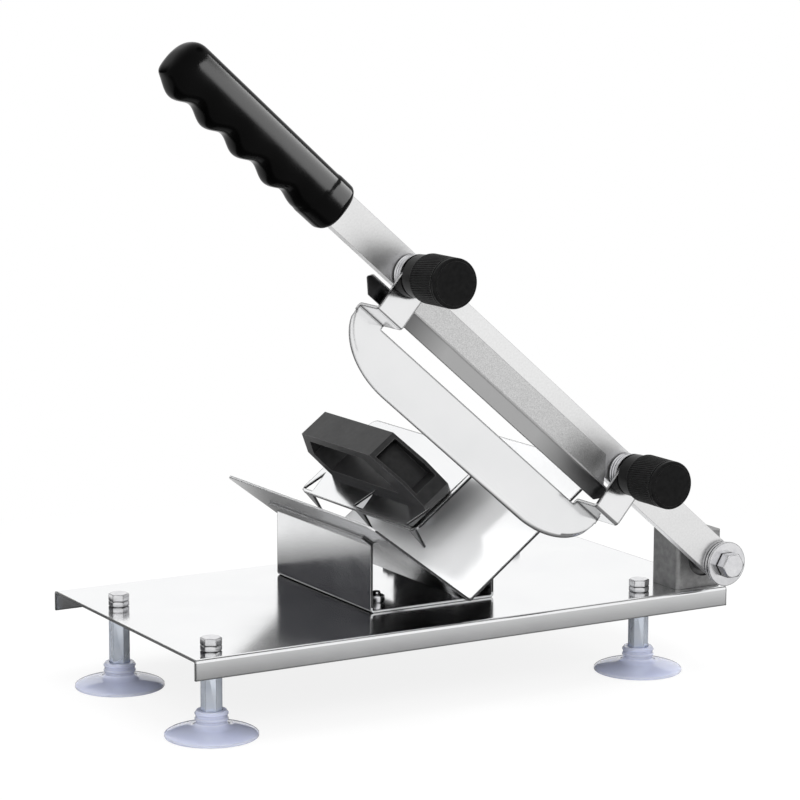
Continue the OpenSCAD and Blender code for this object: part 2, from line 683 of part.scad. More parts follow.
// Thickness knobs: neck, knurled body, threaded insert and cap
module knurl_outline() difference() {
  circle(r = knob_radius);
  for (i = [1 : knob_grooves]) rotate(360 * i / knob_grooves) translate([knob_radius, 0])
    circle(r = knob_groove, $fn = 16);
}
module knob(u) color("darkslategray") lever_frame() translate([u, 0, 0]) difference() {
  union() {
    rod(knob_neck_radius, knob_w, knurl_w);
    translate([0, knurl_w, 0]) rotate([-90, 0, 0]) linear_extrude(height = knurl_length - knob_chamfer)
      knurl_outline();
    rod(knob_radius - knob_chamfer, knurl_w, knob_front_w);
  }
  rod(insert_radius + fit, knob_w - overrun, knob_w + insert_length);
  rod(stud_radius + drill, knob_w, knob_w + knob_bore_depth);
  rod(cap_radius + fit, knob_front_w - cap_recess, knob_front_w + overrun);
}
module insert(u) color("gold") lever_frame() translate([u, 0, 0])
  ring(insert_radius, stud_radius + fit, knob_w, knob_w + insert_length);
module cap(u) color("dimgray") lever_frame() translate([u, 0, 0])
  rod(cap_radius, knob_front_w - cap_recess, knob_front_w - cap_recess + cap_height);

// Pusher plate: each tooth is a triangle cut out of the plate and bent down at its lower edge
module tooth_outline(tip) polygon([[0, 0], [tip, tooth_width / 2], [0, tooth_width]]);
module pusher_plate() color("white") wing_frame() {
  translate([0, 0, pusher_under]) linear_extrude(height = sheet) difference() {
    translate([pusher_start, pusher_near]) round_outline(pusher_width, pusher_length, pusher_corner);
    for (y = tooth_places) translate([tooth_s, y]) tooth_outline(tooth_length);
    for (y = pusher_screw_places) translate([handle_s + handle_width / 2, y])
      circle(r = pusher_screw_radius + drill);
  }
  for (y = tooth_places) translate([tooth_s - sheet, y, pusher_top]) rotate([0, 90, 0])
    linear_extrude(height = sheet) tooth_outline(tooth_length + sheet);
}

// Handle: one block with a window for the fingers and a pocket in its near face
module across_handle(from, width) translate([from, handle_near, pusher_top]) along_x(width) children();
module pusher_handle() color("dimgray") wing_frame() difference() {
  across_handle(handle_s, handle_width) polygon(handle_outline);
  across_handle(handle_s - overrun, handle_width + 2 * overrun) polygon(handle_window);
  across_handle(handle_s + handle_wall, handle_width - 2 * handle_wall) polygon(handle_pocket);
  for (y = pusher_screw_places) translate([handle_s + handle_width / 2, y, 0])
    post(pusher_screw_radius + fit, pusher_top - overrun, pusher_top + pusher_screw_depth + fit);
}
module pusher_screws() color("silver") wing_frame()
  for (y = pusher_screw_places) translate([handle_s + handle_width / 2, y, 0]) {
    post(pusher_screw_head, pusher_under - pusher_screw_height, pusher_under);
    post(pusher_screw_radius, pusher_under, pusher_top + pusher_screw_depth);
  }

base_plate();
tray_bracket();
bracket_screws();
bracket_nuts();
meat_tray();
pivot_block();
block_bolts();
block_washers();
pivot_bolt();
pivot_front_washer();
pivot_lock_washer();
pivot_rear_washer();
pivot_spacer();
pivot_back_washer();
pivot_nut();
foot_bolts();
foot_nuts();
foot_post(front_left);  // foot_post_fl
foot_post(front_right);  // foot_post_fr
foot_post(back_left);  // foot_post_bl
foot_post(back_right);  // foot_post_br
suction_cup(front_left);  // suction_cup_fl
suction_cup(front_right);  // suction_cup_fr
suction_cup(back_left);  // suction_cup_bl
suction_cup(back_right);  // suction_cup_br
cup_studs();
arm_bush();
lever_arm();
grip();
stop_bar();
stud(upper_stud_u);  // upper_stud
stud(lower_stud_u);  // lower_stud
stud_nuts();
spring(upper_stud_u);  // upper_spring
spring(lower_stud_u);  // lower_spring
slicing_blade();
ear_washer(upper_stud_u);  // upper_ear_washer
ear_washer(lower_stud_u);  // lower_ear_washer
knob(upper_stud_u);  // upper_knob
knob(lower_stud_u);  // lower_knob
insert(upper_stud_u);  // upper_insert
insert(lower_stud_u);  // lower_insert
cap(upper_stud_u);  // upper_cap
cap(lower_stud_u);  // lower_cap
pusher_plate();
pusher_handle();
pusher_screws();
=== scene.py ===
"""Looks of the bench slicer with a hand lever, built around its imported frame."""

import json
import logging
import math
from collections.abc import Callable, Sequence
from dataclasses import dataclass
from enum import Enum

import bpy
from bpy.types import Material, Node, NodeSocket, NodeTree, Object
from mathutils import Matrix, Vector

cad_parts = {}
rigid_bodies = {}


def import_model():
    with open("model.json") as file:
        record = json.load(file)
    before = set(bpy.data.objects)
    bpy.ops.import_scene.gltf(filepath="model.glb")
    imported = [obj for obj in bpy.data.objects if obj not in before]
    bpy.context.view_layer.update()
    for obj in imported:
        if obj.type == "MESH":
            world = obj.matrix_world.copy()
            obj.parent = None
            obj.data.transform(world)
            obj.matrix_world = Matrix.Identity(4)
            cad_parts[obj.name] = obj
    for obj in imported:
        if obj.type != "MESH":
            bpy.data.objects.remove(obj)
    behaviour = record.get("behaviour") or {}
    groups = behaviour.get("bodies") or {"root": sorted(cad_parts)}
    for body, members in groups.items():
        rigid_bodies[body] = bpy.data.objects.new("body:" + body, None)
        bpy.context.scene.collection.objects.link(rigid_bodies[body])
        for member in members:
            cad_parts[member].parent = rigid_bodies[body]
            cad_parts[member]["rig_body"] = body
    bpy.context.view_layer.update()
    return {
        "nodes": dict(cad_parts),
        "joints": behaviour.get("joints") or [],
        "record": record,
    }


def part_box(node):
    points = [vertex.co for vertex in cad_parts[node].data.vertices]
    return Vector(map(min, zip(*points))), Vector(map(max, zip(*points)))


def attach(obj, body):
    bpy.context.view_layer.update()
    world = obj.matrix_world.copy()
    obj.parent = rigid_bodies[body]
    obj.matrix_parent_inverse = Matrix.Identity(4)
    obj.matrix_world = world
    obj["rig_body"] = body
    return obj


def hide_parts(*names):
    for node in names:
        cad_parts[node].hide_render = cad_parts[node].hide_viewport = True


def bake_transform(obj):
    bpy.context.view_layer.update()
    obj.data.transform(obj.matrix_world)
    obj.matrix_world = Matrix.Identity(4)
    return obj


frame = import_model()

LOG = logging.getLogger("slicer")
Profile = list[tuple[float, float]]
Colour = tuple[float, float, float]

MERGE = 0.000002
FLAT_ANGLE = math.radians(0.8)
EDGE_ANGLE = math.radians(28)
EASED_ANGLE = math.radians(50)
ROUND_STEPS = 96
CHAMFER_SLOPE = math.radians(22)


class Slot(Enum):
    """The material slots of the record."""

    MIRROR_SHEET = "mirror_sheet"
    BLADE_STEEL = "blade_steel"
    LEVER_STEEL = "lever_steel"
    STOP_STEEL = "stop_steel"
    PLATED_STEEL = "plated_steel"
    BLUE_ZINC = "blue_zinc"
    SPRING_STEEL = "spring_steel"
    CAST_ALLOY = "cast_alloy"
    DARK_STEEL = "dark_steel"
    BUSH_BRONZE = "bush_bronze"
    INSERT_BRASS = "insert_brass"
    GRIP_PLASTIC = "grip_plastic"
    KNOB_PLASTIC = "knob_plastic"
    HANDLE_PLASTIC = "handle_plastic"
    CLEAR_PVC = "clear_pvc"


class Chamfer(Enum):
    """Which ends of a hexagon are chamfered."""

    TOP = "top"
    BOTH = "both"


SLOT_OF_NODE = {row["node"]: Slot(row["material_slot"]) for row in frame["record"]["subparts"]}
JOINT = {joint["name"]: joint for joint in frame["joints"]}


# Modelling helpers


def take(piece: Object) -> None:
    """Makes one object the only selected one and the active one.

    Args:
        piece: The object to work on.
    """
    bpy.ops.object.select_all(action="DESELECT")
    piece.select_set(True)
    bpy.context.view_layer.objects.active = piece


def fresh(name: str) -> Object:
    """Names the primitive that was just added.

    Args:
        name: The new name.

    Returns:
        The primitive's object.
    """
    piece = bpy.context.active_object
    piece.name = name
    piece.data.name = name
    return piece


def settle(piece: Object, matrix: Matrix | None = None) -> Object:
    """Moves a piece to its place and puts the place into the mesh.

    Args:
        piece: The piece, modelled in its own axes.
        matrix: Where those axes lie in the part's frame.

    Returns:
        The piece, with its object at the origin.
    """
    take(piece)
    bpy.ops.object.transform_apply(location=True, rotation=True, scale=True)
    if matrix is not None:
        piece.matrix_world = matrix
        bpy.ops.object.transform_apply(location=True, rotation=True, scale=True)
    return piece


def modify(piece: Object, kind: str, **settings: object) -> Object:
    """Adds one modifier and applies it.

    Args:
        piece: The piece to change.
        kind: Blender's name of the modifier's type.
        settings: The modifier's properties.

    Returns:
        The changed piece.
    """
    take(piece)
    modifier = piece.modifiers.new(kind.lower(), kind)
    for key, value in settings.items():
        setattr(modifier, key, value)
    bpy.ops.object.modifier_apply(modifier=modifier.name)
    return piece


def soften(piece: Object, width: float, segments: int = 2) -> Object:
    """Rounds the sharp edges a little.

    Args:
        piece: The piece to round.
        width: The width of the rounding.
        segments: How many faces cross it.

    Returns:
        The rounded piece.
    """
    return modify(piece, "BEVEL", width=width, segments=segments, limit_method="ANGLE",
                  angle_limit=EDGE_ANGLE, use_clamp_overlap=True, harden_normals=False)


def polish(piece: Object, angle: float = EDGE_ANGLE) -> Object:
    """Shades the piece smooth except across its sharp edges."""
    take(piece)
    bpy.ops.object.shade_smooth_by_angle(angle=angle)
    return piece


def level(piece: Object) -> Object:
    """Shades the large faces flat and only the eased edges between them smooth."""
    polish(piece, EASED_ANGLE)
    return modify(piece, "WEIGHTED_NORMAL", keep_sharp=True, weight=80)


def close_up(piece: Object) -> Object:
    """Merges doubled points, fills open ends and turns every face outwards."""
    take(piece)
    bpy.ops.object.mode_set(mode="EDIT")
    bpy.ops.mesh.select_all(action="SELECT")
    bpy.ops.mesh.remove_doubles(threshold=MERGE)
    bpy.ops.mesh.select_all(action="SELECT")
    bpy.ops.mesh.fill_holes(sides=0)
    bpy.ops.mesh.select_all(action="SELECT")
    bpy.ops.mesh.normals_make_consistent(inside=False)
    bpy.ops.object.mode_set(mode="OBJECT")
    return piece


def join(first: Object, *others: Object) -> Object:
    """Joins pieces into the first one.

    Args:
        first: The piece that stays.
        others: The pieces that go into it.

    Returns:
        The joined piece.
    """
    take(first)
    for other in others:
        other.select_set(True)
    bpy.ops.object.join()
    return first


def cut(piece: Object, tool: Object, operation: str = "DIFFERENCE") -> Object:
    """Cuts a piece with a tool, which is then removed.

    Args:
        piece: The piece to cut.
        tool: The body that cuts it.
        operation: The boolean operation.

    Returns:
        The cut piece.
    """
    modify(piece, "BOOLEAN", object=tool, operation=operation, solver="EXACT")
    bpy.data.objects.remove(tool, do_unlink=True)
    return piece


def copied(piece: Object, name: str, matrix: Matrix) -> Object:
    """Copies a finished shape to another place.

    Args:
        piece: The shape in its own axes.
        name: The copy's name.
        matrix: Where the copy goes.

    Returns:
        The copy, with its own mesh.
    """
    twin = piece.copy()
    twin.data = piece.data.copy()
    twin.name = name
    twin.data.name = name
    bpy.context.scene.collection.objects.link(twin)
    return settle(twin, matrix)


def turned(name: str, profile: Profile, steps: int = ROUND_STEPS) -> Object:
    """Spins a profile round the Z axis, as on a lathe.

    Args:
        name: The new piece's name.
        profile: Points as (radius, height).
        steps: How many faces go round.

    Returns:
        The turned piece in its own axes.
    """
    first = Vector((profile[0][0], 0, profile[0][1]))
    bpy.ops.object.select_all(action="DESELECT")
    bpy.ops.mesh.primitive_plane_add(size=MERGE, location=first)
    piece = fresh(name)
    bpy.ops.object.mode_set(mode="EDIT")
    bpy.ops.mesh.select_all(action="SELECT")
    bpy.ops.mesh.merge(type="CENTER")
    for (r0, z0), (r1, z1) in zip(profile, profile[1:]):
        bpy.ops.mesh.extrude_vertices_move(TRANSFORM_OT_translate={"value": (r1 - r0, 0, z1 - z0)})
    bpy.ops.mesh.select_all(action="SELECT")
    bpy.ops.mesh.spin(steps=steps, angle=math.tau, center=(0, 0, 0), axis=(0, 0, 1))
    bpy.ops.object.mode_set(mode="OBJECT")
    settle(piece)
    return close_up(piece)


def arc(centre: tuple[float, float], radius: float, start: float, end: float, steps: int) -> Profile:
    """Gives the points of an arc in a profile.

    Args:
        centre: The arc's centre as (radius, height).
        radius: The arc's radius.
        start: The first angle in degrees, from the outward direction.
        end: The last angle in degrees.
        steps: How many pieces it has.

    Returns:
        The points from start to end.
    """
    turns = [math.radians(start + (end - start) * i / steps) for i in range(steps + 1)]
    return [(centre[0] + radius * math.cos(t), centre[1] + radius * math.sin(t)) for t in turns]


def hexagon(name: str, flats: float, low: float, high: float, chamfer: Chamfer) -> Object:
    """Makes a chamfered hexagon that stands on the Z axis, with a corner towards Y.

    Args:
        name: The new piece's name.
        flats: The width across flats.
        low: The lower end.
        high: The upper end.
        chamfer: Which ends are chamfered.

    Returns:
        The hexagon in its own axes.
    """
    corner = flats / 2 / math.cos(math.pi / 6)
    inner, outer = flats * 0.485, corner * 1.02
    drop = (outer - inner) * math.tan(CHAMFER_SLOPE)
    bpy.ops.object.select_all(action="DESELECT")
    bpy.ops.mesh.primitive_cylinder_add(vertices=6, radius=corner, depth=high - low,
                                        location=(0, 0, (low + high) / 2))
    piece = settle(fresh(name))
    foot = [(inner, low), (outer, low + drop)] if chamfer is Chamfer.BOTH else [(outer, low)]
    shape = [(0, low), *foot, (outer, high - drop), (inner, high), (0, high)]
    cut(piece, turned("chamfer_shape", shape), "INTERSECT")
    return polish(soften(piece, flats * 0.012), math.radians(20))


def thread(radius: float, depth: float, pitch: float, low: float, high: float) -> Profile:
    """Gives a rod's profile with the grooves of a thread.

    Args:
        radius: The rod's outer radius.
        depth: The depth of the grooves.
        pitch: The distance of the grooves.
        low: Where the thread begins.
        high: Where it ends.

    Returns:
        The profile's outer points from low to high.
    """
    points: Profile = []
    for i in range(int((high - low) / pitch)):
        base = low + i * pitch
        points += [(radius, base + pitch * 0.1), (radius - depth, base + pitch * 0.5),
                   (radius, base + pitch * 0.9)]
    return points


def skin(name: str, rows: int, columns: int, place: Callable[[float, float], Vector]) -> Object:
    """Bends a grid into a closed skin along a line.

    Args:
        name: The new piece's name.
        rows: How many faces lie along the line.
        columns: How many faces go round it.
        place: Gives a point for two shares, along and round, from 0 to 1.

    Returns:
        The closed skin.
    """
    bpy.ops.object.select_all(action="DESELECT")
    bpy.ops.mesh.primitive_grid_add(x_subdivisions=rows, y_subdivisions=columns, size=2)
    piece = fresh(name)
    for vertex in piece.data.vertices:
        along, around = (vertex.co.x + 1) / 2, (vertex.co.y + 1) / 2
        vertex.co = place(along, around % 1.0 if around < 0.9999 else 0.0)
    return close_up(piece)


def dress(piece: Object, body: str, *nodes: str) -> Object:
    """Ties a new piece to its body, its nodes and its finish.

    Args:
        piece: The finished piece.
        body: The body that it moves with.
        nodes: The nodes that it stands for.

    Returns:
        The piece.
    """
    slot = SLOT_OF_NODE[nodes[0]]
    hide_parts(*nodes)
    piece.data.materials.clear()
    piece.data.materials.append(FINISHED[slot])
    if body:
        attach(piece, body)
    LOG.info("piece %s: %d faces", piece.name, len(piece.data.polygons))
    return piece


def refined(node: str, width: float, segments: int = 2) -> Object:
    """Stands a node's own shape in for it, with its edges eased.

    Args:
        node: The node to copy.
        width: The width of the eased edges.
        segments: How many faces cross an eased edge.

    Returns:
        The dressed copy.
    """
    source = frame["nodes"][node]
    piece = bpy.data.objects.new(node + "_finished", source.data.copy())
    bpy.context.scene.collection.objects.link(piece)
    take(piece)
    bpy.ops.object.mode_set(mode="EDIT")
    bpy.ops.mesh.select_all(action="SELECT")
    bpy.ops.mesh.customdata_custom_splitnormals_clear()
    bpy.ops.mesh.remove_doubles(threshold=MERGE)
    bpy.ops.mesh.dissolve_limited(angle_limit=FLAT_ANGLE)
    bpy.ops.object.mode_set(mode="OBJECT")
    soften(piece, width, segments)
    return dress(level(piece), source["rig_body"], node)


# The lever's own axes and other places that come from the frame


@dataclass(frozen=True)
class Layout:
    """Where the lever and the front of the base are."""

    pivot: Vector
    bar: Vector
    front: float
    deck: float

    @classmethod
    def read(cls) -> "Layout":
        """Reads the places from the joints and boxes of the frame."""
        pivot = Vector(JOINT["lever_swing"]["pos_m"])
        bar = Vector(JOINT["upper_knob_turn"]["pos_m"]) - pivot
        bar.y = 0
        low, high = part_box("base_plate")
        return cls(pivot, bar.normalized(), low.y, high.z)

    def forwards(self, node: str) -> tuple[float, float]:
        """Gives how far a node's back and front lie in front of the base."""
        low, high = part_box(node)
        return self.front - high.y, self.front - low.y

    def facing(self, point: Sequence[float], corner: Vector) -> Matrix:
        """Gives axes whose Z points forwards from the base's front.

        Args:
            point: A point on the axis.
            corner: The direction of the axes' Y.

        Returns:
            The axes as a matrix.
        """
        ahead = Vector((0, -1, 0))
        side = corner.cross(ahead)
        turn = Matrix((side, corner, ahead)).transposed().to_4x4()
        return Matrix.Translation((point[0], self.front, point[2])) @ turn

    def along_bar(self) -> Matrix:
        """Gives axes with X along the lever from its pivot, Y forwards and Z up."""
        ahead = Vector((0, -1, 0))
        turn = Matrix((self.bar, ahead, self.bar.cross(ahead))).transposed().to_4x4()
        return Matrix.Translation((self.pivot.x, self.front, self.pivot.z)) @ turn


LAYOUT = Layout.read()


# Shader helpers


def node_of(tree: NodeTree, kind: str, inputs: dict[str | int, object] | None = None,
            **settings: object) -> Node:
    """Adds a shader node and sets or links its inputs.

    Args:
        tree: The node tree.
        kind: The node's type.
        inputs: Values or sockets by the input's name or number.
        settings: The node's properties.

    Returns:
        The new node.
    """
    node = tree.nodes.new(kind)
    for key, value in settings.items():
        setattr(node, key, value)
    for key, value in (inputs or {}).items():
        if isinstance(value, NodeSocket):
            tree.links.new(value, node.inputs[key])
        else:
            node.inputs[key].default_value = value
    return node


def group_tree(name: str, takes: dict[str, str], gives: dict[str, str]) -> tuple[NodeTree, Node, Node]:
    """Starts a node group with named inputs and outputs.

    Args:
        name: The group's name.
        takes: The inputs' names and socket types.
        gives: The outputs' names and socket types.

    Returns:
        The tree, its input node and its output node.
    """
    tree = bpy.data.node_groups.new(name, "ShaderNodeTree")
    for label, kind in takes.items():
        tree.interface.new_socket(name=label, in_out="INPUT", socket_type=kind)
    for label, kind in gives.items():
        tree.interface.new_socket(name=label, in_out="OUTPUT", socket_type=kind)
    return tree, tree.nodes.new("NodeGroupInput"), tree.nodes.new("NodeGroupOutput")


def mix_colour(tree: NodeTree, share: object, first: object, second: object) -> NodeSocket:
    """Mixes two colours.

    Args:
        tree: The node tree.
        share: The share of the second colour, a value or a socket.
        first: The first colour, a value or a socket.
        second: The second colour, a value or a socket.

    Returns:
        The socket of the mixed colour.
    """
    mix = tree.nodes.new("ShaderNodeMix")
    mix.data_type = "RGBA"
    for socket, value in ((mix.inputs[0], share), (mix.inputs[6], first), (mix.inputs[7], second)):
        if isinstance(value, NodeSocket):
            tree.links.new(value, socket)
        else:
            socket.default_value = value
    return mix.outputs[2]


def drift_group() -> NodeTree:
    """Builds the group that lets two colours drift into each other."""
    tree, given, out = group_tree(
        "colour_drift",
        {"Vector": "NodeSocketVector", "Scale": "NodeSocketFloat", "First": "NodeSocketColor",
         "Second": "NodeSocketColor"},
        {"Colour": "NodeSocketColor"})
    noise = node_of(tree, "ShaderNodeTexNoise",
                    {"Vector": given.outputs["Vector"], "Scale": given.outputs["Scale"], "Detail": 4.0})
    spread = node_of(tree, "ShaderNodeMapRange",
                     {"Value": noise.outputs["Fac"], "From Min": 0.3, "From Max": 0.7})
    mix = mix_colour(tree, spread.outputs["Result"], given.outputs["First"], given.outputs["Second"])
    tree.links.new(mix, out.inputs["Colour"])
    return tree


def smudge_group() -> NodeTree:
    """Builds the group that varies roughness as wiping and handling do."""
    tree, given, out = group_tree(
        "smudges",
        {"Vector": "NodeSocketVector", "Scale": "NodeSocketFloat", "Low": "NodeSocketFloat",
         "High": "NodeSocketFloat"},
        {"Roughness": "NodeSocketFloat"})
    noise = node_of(tree, "ShaderNodeTexNoise",
                    {"Vector": given.outputs["Vector"], "Scale": given.outputs["Scale"], "Detail": 5.0,
                     "Distortion": 0.6})
    spread = node_of(tree, "ShaderNodeMapRange",
                     {"Value": noise.outputs["Fac"], "From Min": 0.35, "From Max": 0.7,
                      "To Min": given.outputs["Low"], "To Max": given.outputs["High"]})
    tree.links.new(spread.outputs["Result"], out.inputs["Roughness"])
    return tree


def grain_group() -> NodeTree:
    """Builds the group of fine marks, stretched along one direction or even all round."""
    tree, given, out = group_tree(
        "fine_marks",
        {"Vector": "NodeSocketVector", "Stretch": "NodeSocketVector", "Turn": "NodeSocketVector"},
        {"Height": "NodeSocketFloat"})
    place = node_of(tree, "ShaderNodeMapping",
                    {"Vector": given.outputs["Vector"], "Rotation": given.outputs["Turn"]})
    stretch = node_of(tree, "ShaderNodeVectorMath",
                      {0: place.outputs["Vector"], 1: given.outputs["Stretch"]}, operation="MULTIPLY")
    noise = node_of(tree, "ShaderNodeTexNoise",
                    {"Vector": stretch.outputs["Vector"], "Scale": 1.0, "Detail": 3.0, "Roughness": 0.6})
    tree.links.new(noise.outputs["Fac"], out.inputs["Height"])
    return tree


def relief_group() -> NodeTree:
    """Builds the group that tells edges and hollows from open faces, as masks for painted edge light and
    painted shade in the hollows.

    Its input Spare says by how much the faces that look up or to the front are spared the painted shade.
    """
    tree, given, out = group_tree(
        "relief", {"Radius": "NodeSocketFloat", "Reach": "NodeSocketFloat", "Spare": "NodeSocketFloat"},
        {"Edge": "NodeSocketFloat", "Hollow": "NodeSocketFloat"})
    # Edge: the mask of the eased edges, where painted highlights and painted dark reflections go.
    eased = node_of(tree, "ShaderNodeBevel", {"Radius": given.outputs["Radius"]}, samples=6)
    plain = tree.nodes.new("ShaderNodeNewGeometry").outputs["Normal"]
    along = node_of(tree, "ShaderNodeVectorMath", {0: eased.outputs["Normal"], 1: plain},
                    operation="DOT_PRODUCT")
    edge = node_of(tree, "ShaderNodeMapRange", {"Value": along.outputs["Value"], "From Min": 0.995,
                                                "From Max": 0.93, "To Min": 0.0, "To Max": 1.0})
    # Hollow: ambient occlusion, the mask of painted shade in recesses and between parts.
    shade = node_of(tree, "ShaderNodeAmbientOcclusion", {"Distance": given.outputs["Reach"]}, samples=8)
    hollow_shade = node_of(tree, "ShaderNodeMapRange", {"Value": shade.outputs["AO"], "From Min": 0.6,
                                                  "From Max": 0.2, "To Min": 0.0, "To Max": 1.0})
    facing = node_of(tree, "ShaderNodeVectorMath", {0: plain, 1: (0.0, -0.7, 0.7)},
                     operation="DOT_PRODUCT")
    outward = node_of(tree, "ShaderNodeMapRange", {"Value": facing.outputs["Value"], "From Min": 0.1,
                                                   "From Max": 0.5, "To Min": 0.0, "To Max": 1.0})
    spared = node_of(tree, "ShaderNodeMath", {0: outward.outputs["Result"], 1: given.outputs["Spare"]},
                     operation="MULTIPLY")
    kept = node_of(tree, "ShaderNodeMath", {0: 1.0, 1: spared.outputs["Value"]}, operation="SUBTRACT")
    sunk = node_of(tree, "ShaderNodeMath", {0: hollow_shade.outputs["Result"], 1: kept.outputs["Value"]},
                   operation="MULTIPLY")
    tree.links.new(edge.outputs["Result"], out.inputs["Edge"])
    tree.links.new(sunk.outputs["Value"], out.inputs["Hollow"])
    return tree


DRIFT = drift_group()
SMUDGES = smudge_group()
FINE_MARKS = grain_group()
RELIEF = relief_group()


def group_node(tree: NodeTree, group: NodeTree, inputs: dict[str, object]) -> Node:
    """Places a node group and sets its inputs."""
    node = tree.nodes.new("ShaderNodeGroup")
    node.node_tree = group
    for key, value in inputs.items():
        if isinstance(value, NodeSocket):
            tree.links.new(value, node.inputs[key])
        else:
            node.inputs[key].default_value = value
    return node


def opaque(colour: Colour) -> tuple[float, float, float, float]:
    """Adds a full alpha to a colour."""
    return (*colour, 1.0)


# Finishes


@dataclass(frozen=True)
class Finish:
    """A surface whose colour drifts, whose gloss is smudged, that bears fine marks and that can take painted
    light on its edges and painted shade in its hollows.
    """

    slot: Slot
    first: Colour
    second: Colour
    metallic: float = 1.0
    rough_low: float = 0.1
    rough_high: float = 0.16
    specular: float = 0.5
    coat: float = 0.0
    drift_scale: float = 30.0
    smudge_scale: float = 25.0
    marks: tuple[float, float, float] = (600.0, 600.0, 600.0)
    marks_turn: tuple[float, float, float] = (0.0, 0.0, 0.0)
    mark_height: float = 0.00002
    # The edge colour with its share and radius is painted light on the eased edges: dark for a painted
    # reflection, light for a painted highlight.
    edge: Colour = (0.1, 0.1, 0.102)
    painted_edge_share: float = 0.0
    edge_radius: float = 0.0006
    # The hollow colour with its share, reach and spare is painted shade in recesses and between parts.
    hollow_shade: Colour = (0.02, 0.02, 0.021)
    hollow_shade_share: float = 0.0
    hollow_reach: float = 0.06
    hollow_spare: float = 0.0

    def paint_edge_light_and_hollow_shade(self, tree: NodeTree, colour: NodeSocket) -> NodeSocket:
        """Paints the edges, with painted dark reflections on most metals and painted highlights on the cast
        alloy and the plastics, and paints shade into the hollows.

        Args:
            tree: The material's tree.
            colour: The socket of the open surface's colour.

        Returns:
            The colour's socket.
        """
        relief = group_node(tree, RELIEF, {"Radius": self.edge_radius, "Reach": self.hollow_reach,
                                           "Spare": self.hollow_spare})
        at_edge = node_of(tree, "ShaderNodeMath", {0: relief.outputs["Edge"], 1: self.painted_edge_share},
                          operation="MULTIPLY")
        within = node_of(tree, "ShaderNodeMath", {0: relief.outputs["Hollow"], 1: self.hollow_shade_share},
                         operation="MULTIPLY")
        # Painted edge light first, then painted shade in the hollows.
        edged = mix_colour(tree, at_edge.outputs["Value"], colour, opaque(self.edge))
        return mix_colour(tree, within.outputs["Value"], edged, opaque(self.hollow_shade))

    def base_colour(self, tree: NodeTree, place: NodeSocket) -> NodeSocket:
        """Gives the colour that drifts over the surface.

        Args:
            tree: The material's tree.
            place: The socket of the object coordinates.

        Returns:
            The colour's socket.
        """
        drift = group_node(tree, DRIFT, {"Vector": place, "Scale": self.drift_scale,
                                         "First": opaque(self.first), "Second": opaque(self.second)})
        return drift.outputs["Colour"]

    def build(self) -> Material:
        """Builds the material."""
        material = bpy.data.materials.new(self.slot.value)
        material.use_nodes = True
        tree = material.node_tree
        tree.nodes.clear()
        place = tree.nodes.new("ShaderNodeTexCoord").outputs["Object"]
        smudge = group_node(tree, SMUDGES, {"Vector": place, "Scale": self.smudge_scale,
                                            "Low": self.rough_low, "High": self.rough_high})
        marks = group_node(tree, FINE_MARKS, {"Vector": place, "Stretch": self.marks,
                                              "Turn": self.marks_turn})
        bump = node_of(tree, "ShaderNodeBump", {"Height": marks.outputs["Height"], "Strength": 1.0,
                                                "Distance": self.mark_height})
        shader = node_of(tree, "ShaderNodeBsdfPrincipled",
                         {"Base Color": self.paint_edge_light_and_hollow_shade(tree, self.base_colour(tree, place)),
                          "Metallic": self.metallic,
                          "Roughness": smudge.outputs["Roughness"], "Normal": bump.outputs["Normal"],
                          "Specular IOR Level": self.specular, "Coat Weight": self.coat,
                          "Coat Roughness": 0.05})
        self.adjust(shader)
        node_of(tree, "ShaderNodeOutputMaterial", {"Surface": shader.outputs["BSDF"]})
        return material

    def adjust(self, shader: Node) -> None:
        """Leaves the shader as it is; glass changes it."""


